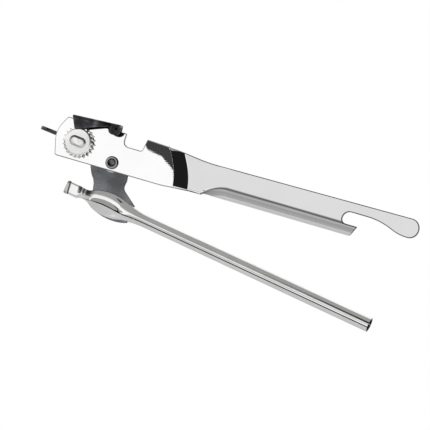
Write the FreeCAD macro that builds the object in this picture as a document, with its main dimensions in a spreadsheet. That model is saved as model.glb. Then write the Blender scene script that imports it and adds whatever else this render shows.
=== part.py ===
"""Manual can opener with a butterfly key: every piece is its own solid, in millimetres.

Frame: the origin is on the feed wheel's axis, at the front face of the upper handle's head.
+X runs along the upper handle to its tip, +Z is up (the blade is above the wheel) and the
wheel side faces -Y.  The opener is modelled closed, with the lower handle swung up.
"""
import FreeCAD, Part
import math
import os
import re

import Sketcher

DIMENSIONS = {
    # upper handle: one stamped plate, stepped back behind its head
    "plate_thick": 1.6,
    "head_left": -12.2,
    "head_left_top": -8.6,
    "head_chamfer": 1.6,
    "head_left_low": -8.9,
    "head_shoulder": 7.35,
    "head_shoulder_round": 11.0,
    "head_side_top": 0.4,
    "head_bottom": -8.9,
    "head_top": 10.3,
    "head_corner_across": 1.2,
    "head_corner_up": 1.0,
    "head_length": 47.4,
    "head_top_right": 9.5,
    "head_rise": 3.8,
    "step_length": 7.6,
    "step_lean": 21.5,
    "step_depth": 2.0,
    "under_step_x": 56.2,
    "under_step": -7.85,
    "waist_x": 62.0,
    "waist_top": 7.75,
    "waist_half": 6.0,
    "waist_rise": 0.84,
    "waist_round": 80.0,
    "tip_x": 163.5,
    "tip_top": 9.2,
    "tip_bottom": -0.2,
    "arm_bend_back": 8.5,
    "arm_bend_z": 1.35,
    "arm_length": 24.1,
    "arm_round": 46.0,
    "arm_flare": 28.0,
    # clearance notch in the head's top edge
    "notch_left": 21.0,
    "notch_width": 10.1,
    "notch_floor": 4.2,
    "notch_round": 2.4,
    "notch_small_round": 0.9,
    # rolled lower edge of the handle
    "roll_start": 66.0,
    "roll_ramp": 3.0,
    "roll_ramp_back": 1.5,
    "roll_foot": -7.3,
    "roll_top": -1.2,
    "roll_radius": 5.6,
    "roll_sweep": 125.0,
    # bottle opener cut into the handle: distances back from the opener's tip
    "hook_length": 8.0,
    "hook_back_z": 0.8,
    "hook_throat": 5.3,
    "hook_mouth": 3.2,
    "hook_mouth_top": 4.0,
    "hook_mouth_round": 4.05,
    "hook_lip": -1.95,
    "hook_lip_tip": -1.8,
    "hook_foot": 3.6,
    "hook_round": 3.0,
    "hook_clear": 0.1,
    # pivot rivet, where the lever turns
    "pivot_x": 18.0,
    "pivot_z": -4.95,
    "rivet_shank": 4.0,
    "rivet_head": 6.2,
    "rivet_head_thick": 0.9,
    "rivet_edge": 0.35,
    "rivet_recess": 3.7,
    "rivet_recess_deep": 0.7,
    "rivet_tail": 7.0,
    "rivet_tail_thick": 1.1,
    "rivet_tail_edge": 0.6,
    "pivot_clear": 0.06,
    "spacer_thick": 0.2,
    "spacer_outer": 9.0,
    "pivot_washer_thick": 0.5,
    "face_clear": 0.1,
    # blade lever: one sheet folded over the head's top edge
    "lever_gap": 0.3,
    "lever_thick": 1.25,
    "fold_clear": 0.22,
    "fold_slope": 3.3,
    "fold_left": -5.3,
    "fold_right": 17.7,
    "fold_bend": 1.6,
    "blade_gap": 0.55,
    "blade_point_x": -2.45,
    "blade_point_z": 5.2,
    "blade_corner_z": 11.2,
    "blade_edge_x": 4.6,
    "blade_edge_z": 7.9,
    "blade_heel_x": 9.65,
    "blade_heel_z": 9.3,
    "bridge_x": 12.6,
    "bridge_z": 10.3,
    "lobe_x": 15.9,
    "lobe_z": 10.5,
    "lobe_round": 2.9,
    "lobe_side_z": 10.1,
    "arm_low": 6.6,
    "arm_root_x": 5.0,
    "arm_root_z": 5.0,
    "lever_left_mid": 5.6,
    "lever_left_x": 8.2,
    "lever_left_z": -9.7,
    "lever_waist_left": 11.1,
    "lever_waist_z": -14.7,
    "lever_shin_left": 12.2,
    "lever_shin_z": -18.6,
    "lever_foot_left": 13.2,
    "lever_foot_left_z": -27.0,
    "lever_foot_right": 32.7,
    "lever_foot_right_z": -30.2,
    "lever_foot_round": 21.0,
    "lever_flare_x": 34.1,
    "lever_flare_z": -21.7,
    "lever_right_waist": 26.3,
    "lever_right_waist_z": -15.2,
    "lever_right_x": 26.7,
    "lever_right_z": -11.3,
    "lever_cheek_x": 20.0,
    "lever_cheek_z": 4.5,
    # lower handle: a rolled tube, flattened where it clamps the lever, with a pry tab
    "grip_x": 21.5,
    "grip_z": -24.1,
    "grip_slope": 8.43,
    "grip_half_width": 5.8,
    "grip_left_width": 4.6,
    "grip_right_width": 4.3,
    "grip_right_depth": 2.35,
    "grip_left": 5.0,
    "grip_middle": 0.5,
    "grip_right": 7.6,
    "grip_half_depth": 2.1,
    "jaw_left": 10.0,
    "jaw_right": 14.0,
    "tube_length": 138.2,
    "tube_start": 18.0,
    "tube_root": 15.3,
    "tube_root_width": 3.15,
    "tube_root_depth": 2.93,
    "tube_joint": 21.6,
    "tube_near": 6.1,
    "tube_far": 6.9,
    "tube_wall": 0.8,
    "seam_width": 0.35,
    "seam_turn": 22.0,
    "neck_place": 11.0,
    "neck_half_width": 2.5,
    "neck_half_depth": 1.75,
    "tab_place": 16.0,
    "tab_length": 6.2,
    "tab_half_width": 3.15,
    "tab_root_half_width": 3.05,
    "tab_half_depth": 1.0,
    "tab_drop": 0.8,
    "tab_corner": 1.0,
    # feed wheel
    "wheel_tip": 15.0,
    "wheel_root": 13.1,
    "wheel_face": 12.8,
    "wheel_rim": 11.2,
    "wheel_thick": 3.4,
    "tooth_ring": 2.4,
    "tooth_count": 22,
    "tooth_crest": 0.45,
    # drive shaft and the washers on it
    "wheel_washer_thick": 0.3,
    "wheel_washer_outer": 10.4,
    "journal": 6.4,
    "journal_clear": 0.05,
    "bush_outer": 8.0,
    "bush_length": 4.0,
    "tenon_long": 6.2,
    "tenon_wide": 3.6,
    "peened_long": 8.1,
    "peened_wide": 4.9,
    "peened_thick": 0.8,
    "peened_edge": 0.5,
    "key_washer_thick": 0.6,
    "key_washer_outer": 10.4,
    "spring_washer_thick": 0.8,
    "spring_washer_outer": 9.6,
    "collar_outer": 9.0,
    "collar_length": 2.0,
    "boss_wide": 8.4,
    "boss_thick": 5.6,
    "boss_length": 9.5,
    # butterfly key
    "key_thick": 1.8,
    "key_half_span": 23.4,
    "key_front": 8.3,
    "key_lobe": 7.7,
    "key_waist": 9.4,
    "key_waist_half": 3.6,
    "key_hollow": 9.5,
    "key_turn": 5.8,
    "key_rivet_shank": 2.6,
    "key_rivet_back": 5.0,
    "key_rivet_head": 4.2,
    "key_rivet_head_thick": 0.7,
    # how far cutting tools run past the metal
    "overrun": 6.0,
}

RESERVED = {"sin", "cos", "tan", "deg"}

# Expressions that several pieces share, from the front of the opener to its back.
WHEEL_BACK = "(face_clear + wheel_washer_thick)"
WHEEL_FRONT = "(face_clear + wheel_washer_thick + wheel_thick)"
LEVER_FRONT = "(plate_thick + lever_gap)"
LEVER_BACK = "(plate_thick + lever_gap + lever_thick)"
FOLD_TOP = "(head_top + fold_clear + lever_thick)"
BLADE_BACK = "(face_clear + wheel_washer_thick + wheel_thick + blade_gap)"
BLADE_FRONT = "(face_clear + wheel_washer_thick + wheel_thick + blade_gap + lever_thick)"
PIVOT_STACK = "(plate_thick + lever_gap + lever_thick + face_clear + pivot_washer_thick)"
KEY_STACK = "(bush_length + face_clear + key_washer_thick + spring_washer_thick)"
HOOK_TIP = "(tip_x - arm_length)"
STEP_ROUND = "((step_length * step_length + step_depth * step_depth) / (4 * step_depth))"

doc = FreeCAD.newDocument("can_opener")
sheet = doc.addObject("Spreadsheet::Sheet", "dims")
for row, (alias, number) in enumerate(DIMENSIONS.items(), start=1):
    sheet.set("A%d" % row, alias)
    sheet.set("B%d" % row, str(number))
    sheet.setAlias("B%d" % row, alias)
doc.recompute()


def bound(text):
    """The expression with each dimension's name pointed at the spreadsheet."""
    return re.sub(r"[a-z][a-z_]*",
                  lambda word: word.group(0) if word.group(0) in RESERVED
                  else "dims." + word.group(0), str(text))


def value(text):
    """What an expression in the spreadsheet's names comes to."""
    return float(sheet.evalExpression(str(text)))


# --- sketches ---------------------------------------------------------------------------

def new_body(label):
    body = doc.addObject("PartDesign::Body", label)
    body.Label = label
    return body


def new_sketch(body, name, role, offset=None):
    """A sketch on one of the body's own origin planes, moved along the plane's normal."""
    sketch = body.newObject("Sketcher::SketchObject", body.Label + "_" + name)
    plane = next(item for item in body.Origin.OriginFeatures if item.Role == role)
    sketch.AttachmentSupport = [(plane, "")]
    sketch.MapMode = "FlatFace"
    if offset is not None:
        sketch.setExpression(".AttachmentOffset.Base.z", bound(offset))
    doc.recompute()
    return sketch


def pin_point(sketch, geometry, end, across, up):
    """Hold a point at two named distances from the sketch's origin."""
    for kind, axis, text in (("DistanceX", -2, across), ("DistanceY", -1, up)):
        if value(text) == 0:
            sketch.addConstraint(Sketcher.Constraint("PointOnObject", geometry, end, axis))
            continue
        index = sketch.addConstraint(
            Sketcher.Constraint(kind, -1, 1, geometry, end, value(text)))
        sketch.setExpression("Constraints[%d]" % index, bound(text))


def arc_through(start, end, radius, side):
    """The arc between two points whose centre is left (1) or right (-1) of the way across."""
    chord = end - start
    reach = math.sqrt(radius ** 2 - (chord.Length / 2) ** 2)
    left = FreeCAD.Vector(-chord.y, chord.x, 0).normalize()
    centre = (start + end) * 0.5 + left * reach * side
    ends = (start, end) if side > 0 else (end, start)
    begin, finish = (math.atan2(p.y - centre.y, p.x - centre.x) for p in ends)
    if finish < begin:
        finish += 2 * math.pi
    circle = Part.Circle(centre, FreeCAD.Vector(0, 0, 1), radius)
    return Part.ArcOfCircle(circle, begin, finish)


def outline(sketch, points):
    """A closed outline of lines and arcs through the points.

    A point is (across, up), or (across, up, radius, side) where an arc arrives at it.
    """
    first = sketch.GeometryCount
    for step, point in enumerate(points):
        before = points[step - 1]
        start = FreeCAD.Vector(value(before[0]), value(before[1]), 0)
        end = FreeCAD.Vector(value(point[0]), value(point[1]), 0)
        if len(point) == 2:
            sketch.addGeometry(Part.LineSegment(start, end))
            continue
        sketch.addGeometry(arc_through(start, end, value(point[2]), point[3]))
        index = sketch.addConstraint(
            Sketcher.Constraint("Radius", first + step, value(point[2])))
        sketch.setExpression("Constraints[%d]" % index, bound(point[2]))
    for step, point in enumerate(points):
        after = (step + 1) % len(points)
        finish = 1 if len(point) > 2 and point[3] < 0 else 2
        begin = 2 if len(points[after]) > 2 and points[after][3] < 0 else 1
        sketch.addConstraint(Sketcher.Constraint(
            "Coincident", first + step, finish, first + after, begin))
        pin_point(sketch, first + step, finish, point[0], point[1])
    doc.recompute()


def rectangle(sketch, left, bottom, right, top):
    outline(sketch, [(left, bottom), (right, bottom), (right, top), (left, top)])


def circle(sketch, diameter, across="0", up="0"):
    """A circle whose diameter and centre follow the spreadsheet."""
    centre = FreeCAD.Vector(value(across), value(up), 0)
    index = sketch.addGeometry(
        Part.Circle(centre, FreeCAD.Vector(0, 0, 1), value(diameter) / 2))
    size = sketch.addConstraint(Sketcher.Constraint("Diameter", index, value(diameter)))
    sketch.setExpression("Constraints[%d]" % size, bound(diameter))
    pin_point(sketch, index, 3, across, up)
    doc.recompute()


def obround(sketch, length, width):
    """A slot shape, centred on the sketch's origin, with round ends."""
    half = "((%s) / 2)" % width
    end = "((%s) / 2)" % length
    reach = "(%s - %s)" % (end, half)
    outline(sketch, [
        (reach, "-" + half),
        (end, "0", half, 1),
        (reach, half, half, 1),
        ("-" + reach, half),
        ("-" + end, "0", half, 1),
        ("-" + reach, "-" + half, half, 1),
    ])


# --- features ---------------------------------------------------------------------------

def extrude(body, kind, sketch, length, reverse=False, middle=False):
    """A Pad or Pocket of a bound length."""
    feature = body.newObject("PartDesign::" + kind, sketch.Label + "_" + kind.lower())
    feature.Profile = sketch
    feature.setExpression("Length", bound(length))
    feature.Reversed = reverse
    feature.Midplane = middle
    doc.recompute()
    return feature


def cut(body, sketch, length, reverse=False, middle=False):
    """A Pocket that has to take something away."""
    before = body.Shape.Volume
    feature = extrude(body, "Pocket", sketch, length, reverse, middle)
    if body.Shape.Volume >= before - 1e-6:
        raise ValueError(sketch.Label + " cuts nothing")
    return feature


def revolve(body, sketch):
    """A full turn of the sketch about the body's Y axis."""
    feature = body.newObject("PartDesign::Revolution", sketch.Label + "_turn")
    feature.Profile = sketch
    feature.ReferenceAxis = (sketch, ["V_Axis"])
    feature.Angle = 360
    doc.recompute()
    return feature


def dress(body, kind, size, chosen):
    """A Fillet or Chamfer on the edges for which chosen(edge) is true."""
    base = body.Tip
    names = ["Edge%d" % number for number, edge in enumerate(base.Shape.Edges, start=1)
             if chosen(edge)]
    if not names:
        raise ValueError(body.Label + " has no edge to " + kind.lower())
    feature = body.newObject("PartDesign::" + kind, body.Label + "_" + kind.lower())
    feature.Base = (base, names)
    feature.setExpression("Size" if kind == "Chamfer" else "Radius", bound(size))
    doc.recompute()
    return feature


def place(item, across="0", depth="0", up="0", turn=None):
    """Put an object at named distances, turned about Y by a named angle in degrees."""
    if turn is not None:
        item.Placement = FreeCAD.Placement(
            FreeCAD.Vector(), FreeCAD.Rotation(FreeCAD.Vector(0, 1, 0), value(turn)))
        item.setExpression(".Placement.Rotation.Angle", bound(turn))
    for axis, text in (("x", across), ("y", depth), ("z", up)):
        item.setExpression(".Placement.Base." + axis, bound(text))
    doc.recompute()


def trim_to(body, name, points, reverse=False, middle=False):
    """Cut away all of a body that lies outside a front-view outline."""
    sketch = new_sketch(body, name, "XZ_Plane")
    rectangle(sketch, "-key_half_span * 10", "-key_half_span * 10",
              "key_half_span * 10", "key_half_span * 10")
    outline(sketch, points)
    return cut(body, sketch, "key_half_span * 2", reverse, middle)


def ring(label, outer, inner, back, thick, turn=None, across="0", up="0"):
    """A flat washer or a sleeve about Y, whose rear face is at the depth called back."""
    body = new_body(label)
    sketch = new_sketch(body, "section", "XZ_Plane", "-(%s)" % back)
    circle(sketch, outer)
    circle(sketch, inner)
    extrude(body, "Pad", sketch, thick)
    place(body, across=across, up=up, turn=turn)
    return body


# --- upper handle -----------------------------------------------------------------------

def make_upper_handle():
    body = new_body("upper_handle")
    far = "(tip_x + (tip_top - tip_bottom) / 2 + overrun)"
    bend_in = "(%s - plate_thick)" % STEP_ROUND
    bend_out = "(%s + plate_thick)" % STEP_ROUND
    mid_x = "(head_length + step_length / 2)"
    mid_back_x = "(%s - plate_thick * step_length / 2 / %s)" % (mid_x, STEP_ROUND)
    mid_back_y = "(step_depth / 2 + plate_thick * (1 - step_depth / 2 / %s))" % STEP_ROUND
    strip = new_sketch(body, "strip", "XY_Plane")
    outline(strip, [
        ("head_left - overrun", "0"),
        ("head_length", "0"),
        (mid_x, "step_depth / 2", STEP_ROUND, 1),
        ("head_length + step_length", "step_depth", STEP_ROUND, -1),
        (far, "step_depth"),
        (far, "step_depth + plate_thick"),
        ("head_length + step_length", "step_depth + plate_thick"),
        (mid_back_x, mid_back_y, bend_out, 1),
        ("head_length", "plate_thick", bend_in, -1),
        ("head_left - overrun", "plate_thick"),
    ])
    plate = extrude(body, "Pad", strip, "(head_top - head_bottom) * 3", middle=True)
    plate.UseCustomVector = True
    plate.Direction = FreeCAD.Vector(-math.tan(math.radians(value("step_lean"))), 0, 1)
    plate.setExpression(".Direction.x", bound("-tan(step_lean * 1 deg)"))
    doc.recompute()
    top_left = "(notch_floor + notch_round)"
    top_right = "(notch_floor + notch_small_round)"
    notch_right = "(notch_left + notch_width)"
    tip_mid = "(tip_top + tip_bottom) / 2"
    tip_round = "(tip_top - tip_bottom) / 2"
    trim_to(body, "front", [
        ("head_left_low", "head_bottom"),
        ("head_length - head_rise", "head_bottom"),
        ("under_step_x", "under_step"),
        ("roll_start - roll_ramp_back", "roll_foot"),
        ("roll_start + roll_ramp", "roll_top"),
        (HOOK_TIP, "roll_top"),
        (HOOK_TIP, "hook_mouth_top"),
        ("tip_x - arm_bend_back", "arm_bend_z", "arm_round", -1),
        ("tip_x", "tip_bottom", "arm_flare", 1),
        ("tip_x + " + tip_round, tip_mid, tip_round, 1),
        ("tip_x", "tip_top", tip_round, 1),
        ("waist_x + waist_half", "waist_top"),
        ("waist_x - waist_half", "waist_top + waist_rise", "waist_round", -1),
        ("head_length", "head_top_right"),
        (notch_right, "head_top"),
        (notch_right, top_right),
        (notch_right + " - notch_small_round", "notch_floor", "notch_small_round", -1),
        ("notch_left + notch_round", "notch_floor"),
        ("notch_left", top_left, "notch_round", -1),
        ("notch_left", "head_top"),
        ("head_left_top", "head_top"),
        ("head_left_top - head_chamfer", "head_shoulder"),
        ("head_left", "head_side_top", "head_shoulder_round", 1),
        ("head_left_low - head_corner_across", "head_bottom + head_corner_up"),
    ], middle=True)
    roll = new_sketch(body, "roll", "YZ_Plane", "roll_start")
    centre = "(step_depth + roll_radius)"
    inner = "(roll_radius - plate_thick)"
    outline(roll, [
        ("step_depth", "roll_top"),
        (centre, "roll_top - roll_radius", "roll_radius", 1),
        ("%s - roll_radius * cos(roll_sweep * 1 deg)" % centre,
         "roll_top - roll_radius * sin(roll_sweep * 1 deg)", "roll_radius", 1),
        ("%s - %s * cos(roll_sweep * 1 deg)" % (centre, inner),
         "roll_top - %s * sin(roll_sweep * 1 deg)" % inner),
        (centre, "roll_top - " + inner, inner, -1),
        ("step_depth + plate_thick", "roll_top", inner, -1),
    ])
    extrude(body, "Pad", roll, HOOK_TIP + " - roll_start")
    opener = new_sketch(body, "opener", "XZ_Plane")
    outline(opener, [
        (HOOK_TIP + " - hook_mouth", "hook_mouth_top"),
        (HOOK_TIP + " - hook_length", "hook_back_z", "hook_mouth_round", 1),
        (HOOK_TIP + " - hook_throat", "hook_lip", "hook_round", 1),
        (HOOK_TIP, "hook_lip_tip"),
        (HOOK_TIP + " - hook_foot", "roll_top - roll_radius - hook_clear"),
        (HOOK_TIP + " - hook_foot", "roll_top - roll_radius - overrun"),
        (HOOK_TIP + " + overrun", "roll_top - roll_radius - overrun"),
        (HOOK_TIP + " + overrun", "roll_top - hook_clear"),
        (HOOK_TIP + " + hook_clear / 2", "roll_top - hook_clear"),
        (HOOK_TIP + " + hook_clear / 2", "hook_mouth_top"),
    ])
    cut(body, opener, "roll_radius * 8", middle=True)
    holes = new_sketch(body, "holes", "XZ_Plane")
    circle(holes, "bush_outer")
    circle(holes, "rivet_shank", "pivot_x", "pivot_z")
    cut(body, holes, "plate_thick * 4", middle=True)
    return body


# --- lever pivot ------------------------------------------------------------------------

def make_pivot_rivet():
    body = new_body("pivot_rivet")
    tail = PIVOT_STACK
    profile = new_sketch(body, "profile", "XY_Plane")
    outline(profile, [
        ("0", "rivet_recess_deep - rivet_head_thick"),
        ("rivet_recess / 2", "rivet_recess_deep - rivet_head_thick"),
        ("rivet_recess / 2", "-rivet_head_thick"),
        ("rivet_head / 2 - rivet_edge", "-rivet_head_thick"),
        ("rivet_head / 2", "rivet_edge - rivet_head_thick"),
        ("rivet_head / 2", "0"),
        ("rivet_shank / 2", "0"),
        ("rivet_shank / 2", tail),
        ("rivet_tail / 2", tail),
        ("rivet_tail / 2", tail + " + rivet_tail_thick - rivet_tail_edge"),
        ("rivet_tail / 2 - rivet_tail_edge", tail + " + rivet_tail_thick"),
        ("0", tail + " + rivet_tail_thick"),
    ])
    revolve(body, profile)
    place(body, across="pivot_x", up="pivot_z")
    return body


# --- blade lever ------------------------------------------------------------------------

def make_blade_lever():
    body = new_body("blade_lever")
    inner = "(fold_bend - lever_thick)"
    low = "(lever_foot_right_z - overrun)"
    section = new_sketch(body, "section", "YZ_Plane", "fold_left")
    outline(section, [
        (LEVER_FRONT, low),
        (LEVER_BACK, low),
        (LEVER_BACK, FOLD_TOP + " - fold_bend"),
        (LEVER_BACK + " - fold_bend", FOLD_TOP, "fold_bend", 1),
        ("fold_bend - " + BLADE_FRONT, FOLD_TOP),
        ("-" + BLADE_FRONT, FOLD_TOP + " - fold_bend", "fold_bend", 1),
        ("-" + BLADE_FRONT, "blade_point_z - overrun"),
        ("-" + BLADE_BACK, "blade_point_z - overrun"),
        ("-" + BLADE_BACK, FOLD_TOP + " - fold_bend"),
        ("fold_bend - " + BLADE_FRONT, FOLD_TOP + " - lever_thick", inner, -1),
        (LEVER_BACK + " - fold_bend", FOLD_TOP + " - lever_thick"),
        (LEVER_FRONT, FOLD_TOP + " - fold_bend", inner, -1),
    ])
    sheet_pad = extrude(body, "Pad", section, "lever_flare_x - fold_left + overrun")
    sheet_pad.UseCustomVector = True
    sheet_pad.Direction = FreeCAD.Vector(1, 0, math.tan(math.radians(value("fold_slope"))))
    sheet_pad.setExpression(".Direction.z", bound("tan(fold_slope * 1 deg)"))
    doc.recompute()
    above = FOLD_TOP + " + overrun"
    trim_to(body, "back_view", [
        ("lever_foot_left", "lever_foot_left_z"),
        ("lever_foot_right", "lever_foot_right_z", "lever_foot_round", 1),
        ("lever_flare_x", "lever_flare_z"),
        ("lever_right_waist", "lever_right_waist_z"),
        ("lever_right_x", "lever_right_z"),
        ("lever_right_x", "pivot_z"),
        ("lever_cheek_x", "lever_cheek_z"),
        ("fold_right", "head_top - fold_bend / 2"),
        ("fold_right", above),
        ("fold_left", above),
        ("fold_left", "arm_low"),
        ("arm_root_x", "arm_root_z"),
        ("lever_left_mid", "pivot_z / 2"),
        ("lever_left_x", "lever_left_z"),
        ("lever_waist_left", "lever_waist_z"),
        ("lever_shin_left", "lever_shin_z"),
    ])
    trim_to(body, "front_view", [
        ("blade_point_x", "blade_point_z"),
        ("blade_edge_x", "blade_edge_z"),
        ("blade_heel_x", "blade_heel_z", "head_shoulder_round", 1),
        ("bridge_x", "bridge_z", "lobe_round", 1),
        ("lobe_x - lobe_round", "lobe_side_z"),
        ("lobe_x", "lobe_z - lobe_round", "lobe_round", 1),
        ("lobe_x + lobe_round", "lobe_z", "lobe_round", 1),
        ("lobe_x + lobe_round", FOLD_TOP),
        ("fold_right", above),
        ("fold_left", above),
        ("fold_left", "blade_corner_z"),
    ], reverse=True)
    hole = new_sketch(body, "pivot_hole", "XZ_Plane")
    circle(hole, "rivet_shank + 2 * pivot_clear", "pivot_x", "pivot_z")
    cut(body, hole, "plate_thick * 8", middle=True)
    return body


# --- lower handle -----------------------------------------------------------------------

def lens(name, along, half_width, half_depth, drop="0"):
    """One oval section of the lower handle, standing across its length."""
    oval = doc.addObject("Part::Ellipse", "lower_handle_" + name)
    oval.setExpression("MajorRadius", bound(half_width))
    oval.setExpression("MinorRadius", bound(half_depth))
    oval.Placement = FreeCAD.Placement(
        FreeCAD.Vector(), FreeCAD.Rotation(FreeCAD.Vector(0, 1, 0), -90))
    oval.setExpression(".Placement.Base.x", bound(along))
    oval.setExpression(".Placement.Base.z", bound("-(%s)" % drop))
    doc.recompute()
    return oval


def block(name, length, width, height, across, depth, up, lean=None):
    """A box whose corner stands at named distances, leaning about X by a named angle."""
    item = doc.addObject("Part::Box", "lower_handle_" + name)
    for size, text in (("Length", length), ("Width", width), ("Height", height)):
        item.setExpression(size, bound(text))
    if lean is not None:
        item.Placement = FreeCAD.Placement(
            FreeCAD.Vector(), FreeCAD.Rotation(FreeCAD.Vector(1, 0, 0), value(lean)))
        item.setExpression(".Placement.Rotation.Angle", bound(lean))
    for axis, text in (("x", across), ("y", depth), ("z", up)):
        item.setExpression(".Placement.Base." + axis, bound(text))
    doc.recompute()
    return item


def cone(name, start, near, far, length):
    """A round taper lying along X."""
    item = doc.addObject("Part::Cone", "lower_handle_" + name)
    item.Placement = FreeCAD.Placement(
        FreeCAD.Vector(), FreeCAD.Rotation(FreeCAD.Vector(0, 1, 0), 90))
    item.setExpression("Radius1", bound("(%s) / 2" % near))
    item.setExpression("Radius2", bound("(%s) / 2" % far))
    item.setExpression("Height", bound(length))
    item.setExpression(".Placement.Base.x", bound(start))
    doc.recompute()
    return item


def boolean(kind, name, base, tool):
    item = doc.addObject("Part::" + kind, name)
    item.Base = base
    item.Tool = tool
    doc.recompute()
    return item


def make_lower_handle():
    """The tube lies along X here and is put in its place at the end."""
    jaws = doc.addObject("Part::Loft", "lower_handle_jaws")
    jaws.Sections = [
        lens("tab_root", "-tab_place", "tab_root_half_width", "tab_half_depth", "tab_drop"),
        lens("neck", "-neck_place", "neck_half_width", "neck_half_depth"),
        lens("grip_left", "-grip_left", "grip_left_width", "grip_half_depth"),
        lens("grip", "grip_middle", "grip_half_width", "grip_half_depth"),
        lens("grip_right", "grip_right", "grip_right_width", "grip_right_depth"),
        lens("tube_root", "tube_root", "tube_root_width", "tube_root_depth"),
        lens("tube_joint", "tube_joint", "tube_near / 2", "tube_near / 2"),
    ]
    jaws.Solid = True
    doc.recompute()
    tube = cone("tube", "tube_joint", "tube_near", "tube_far", "tube_length - tube_joint")
    tab = block("tab", "tab_length", "tab_half_depth * 2", "tab_half_width * 2",
                "-tab_place - tab_length", "-tab_half_depth", "-tab_half_width - tab_drop")
    tab_round = doc.addObject("Part::Fillet", "lower_handle_tab_round")
    tab_round.Base = tab
    corners = [number for number, edge in enumerate(tab.Shape.Edges, start=1)
               if edge.BoundBox.YLength > value("tab_half_depth")
               and edge.BoundBox.XMin < value("-tab_place - tab_length / 2")]
    tab_round.Edges = [(number, value("tab_corner"), value("tab_corner"))
                       for number in corners]
    doc.recompute()
    solid = boolean("Fuse", "lower_handle_body", jaws, tube)
    solid = boolean("Fuse", "lower_handle_blank", solid, tab_round)
    bore = cone("bore", "tube_start", "tube_near - 2 * tube_wall",
                "tube_far - 2 * tube_wall", "tube_length - tube_start")
    solid = boolean("Cut", "lower_handle_bored", solid, bore)
    slot = block("slot", "jaw_left + jaw_right", "lever_thick", "grip_half_width * 4",
                 "-jaw_left", "-lever_thick / 2", "-grip_half_width * 2")
    solid = boolean("Cut", "lower_handle_slotted", solid, slot)
    seam = block("seam", "tube_length - tube_start", "tube_far", "seam_width",
                 "tube_start",
                 "seam_width / 2 * sin(seam_turn * 1 deg) - tube_far * cos(seam_turn * 1 deg)",
                 "-seam_width / 2 * cos(seam_turn * 1 deg) - tube_far * sin(seam_turn * 1 deg)",
                 lean="seam_turn")
    handle = boolean("Cut", "lower_handle", solid, seam)
    place(handle, "grip_x", LEVER_FRONT + " + lever_thick / 2", "grip_z", turn="grip_slope")
    return handle


# --- drive: feed wheel, shaft and key, turned together about Y ---------------------------

def make_feed_wheel():
    body = new_body("feed_wheel")
    ring_front = WHEEL_BACK + " + tooth_ring"
    profile = new_sketch(body, "profile", "XY_Plane")
    outline(profile, [
        ("0", "-" + WHEEL_FRONT),
        ("wheel_rim / 2", "-" + WHEEL_FRONT),
        ("wheel_face / 2", "-(" + ring_front + ") - 0.2"),
        ("wheel_face / 2", "-(" + ring_front + ")"),
        ("wheel_tip / 2", "-(" + ring_front + ")"),
        ("wheel_tip / 2", "-" + WHEEL_BACK),
        ("0", "-" + WHEEL_BACK),
    ])
    revolve(body, profile)
    gap = new_sketch(body, "tooth_gap", "XZ_Plane", WHEEL_BACK)
    half_pitch = "180 / tooth_count * 1 deg"
    half_mouth = "(wheel_tip / 2 * tan(%s) - tooth_crest / 2)" % half_pitch
    outline(gap, [
        ("0", "wheel_root / 2"),
        (half_mouth + " * 1.5", "wheel_root / 2 + (wheel_tip - wheel_root) * 0.75"),
        ("-%s * 1.5" % half_mouth, "wheel_root / 2 + (wheel_tip - wheel_root) * 0.75"),
    ])
    cutter = cut(body, gap, "wheel_thick * 2", middle=True)
    teeth = body.newObject("PartDesign::PolarPattern", "feed_wheel_teeth")
    teeth.Originals = [cutter]
    teeth.Axis = (gap, ["N_Axis"])
    teeth.Angle = 360
    teeth.setExpression("Occurrences", bound("tooth_count"))
    body.Tip = teeth
    doc.recompute()
    tenon = new_sketch(body, "tenon_hole", "XZ_Plane")
    obround(tenon, "tenon_long", "tenon_wide")
    cut(body, tenon, "wheel_thick * 4", middle=True)
    place(body, turn="key_turn")
    return body


def make_drive_shaft():
    body = new_body("drive_shaft")
    steps = [
        ("journal", "-" + KEY_STACK, "%s + %s" % (KEY_STACK, WHEEL_BACK)),
        ("collar", "-(%s + collar_length)" % KEY_STACK, "collar_length"),
    ]
    for name, start, length in steps:
        sketch = new_sketch(body, name, "XZ_Plane", start)
        circle(sketch, "journal" if name == "journal" else "collar_outer")
        extrude(body, "Pad", sketch, length)
    tenon = new_sketch(body, "tenon", "XZ_Plane", WHEEL_BACK)
    obround(tenon, "tenon_long", "tenon_wide")
    extrude(body, "Pad", tenon, "wheel_thick")
    peened = new_sketch(body, "peened", "XZ_Plane", WHEEL_FRONT)
    obround(peened, "peened_long", "peened_wide")
    extrude(body, "Pad", peened, "peened_thick")
    head_front = -value(WHEEL_FRONT + " + peened_thick")
    dress(body, "Fillet", "peened_edge",
          lambda edge: abs(edge.BoundBox.YMin - head_front) < 1e-6
          and abs(edge.BoundBox.YMax - head_front) < 1e-6)
    boss_start = KEY_STACK + " + collar_length"
    boss = new_sketch(body, "boss", "XZ_Plane", "-(%s + boss_length)" % boss_start)
    rectangle(boss, "-boss_wide / 2", "-boss_thick / 2", "boss_wide / 2", "boss_thick / 2")
    extrude(body, "Pad", boss, "boss_length")
    fork = new_sketch(body, "fork", "XZ_Plane", "-(%s + boss_length)" % boss_start)
    rectangle(fork, "-boss_wide", "-key_thick / 2", "boss_wide", "key_thick / 2")
    extrude(body, "Pocket", fork, boss_start + " + boss_length - key_front", reverse=True)
    cross = new_sketch(body, "rivet_hole", "XY_Plane")
    circle(cross, "key_rivet_shank", "0", "key_front + key_rivet_back")
    cut(body, cross, "boss_thick * 2", middle=True)
    place(body, turn="key_turn")
    return body


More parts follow.
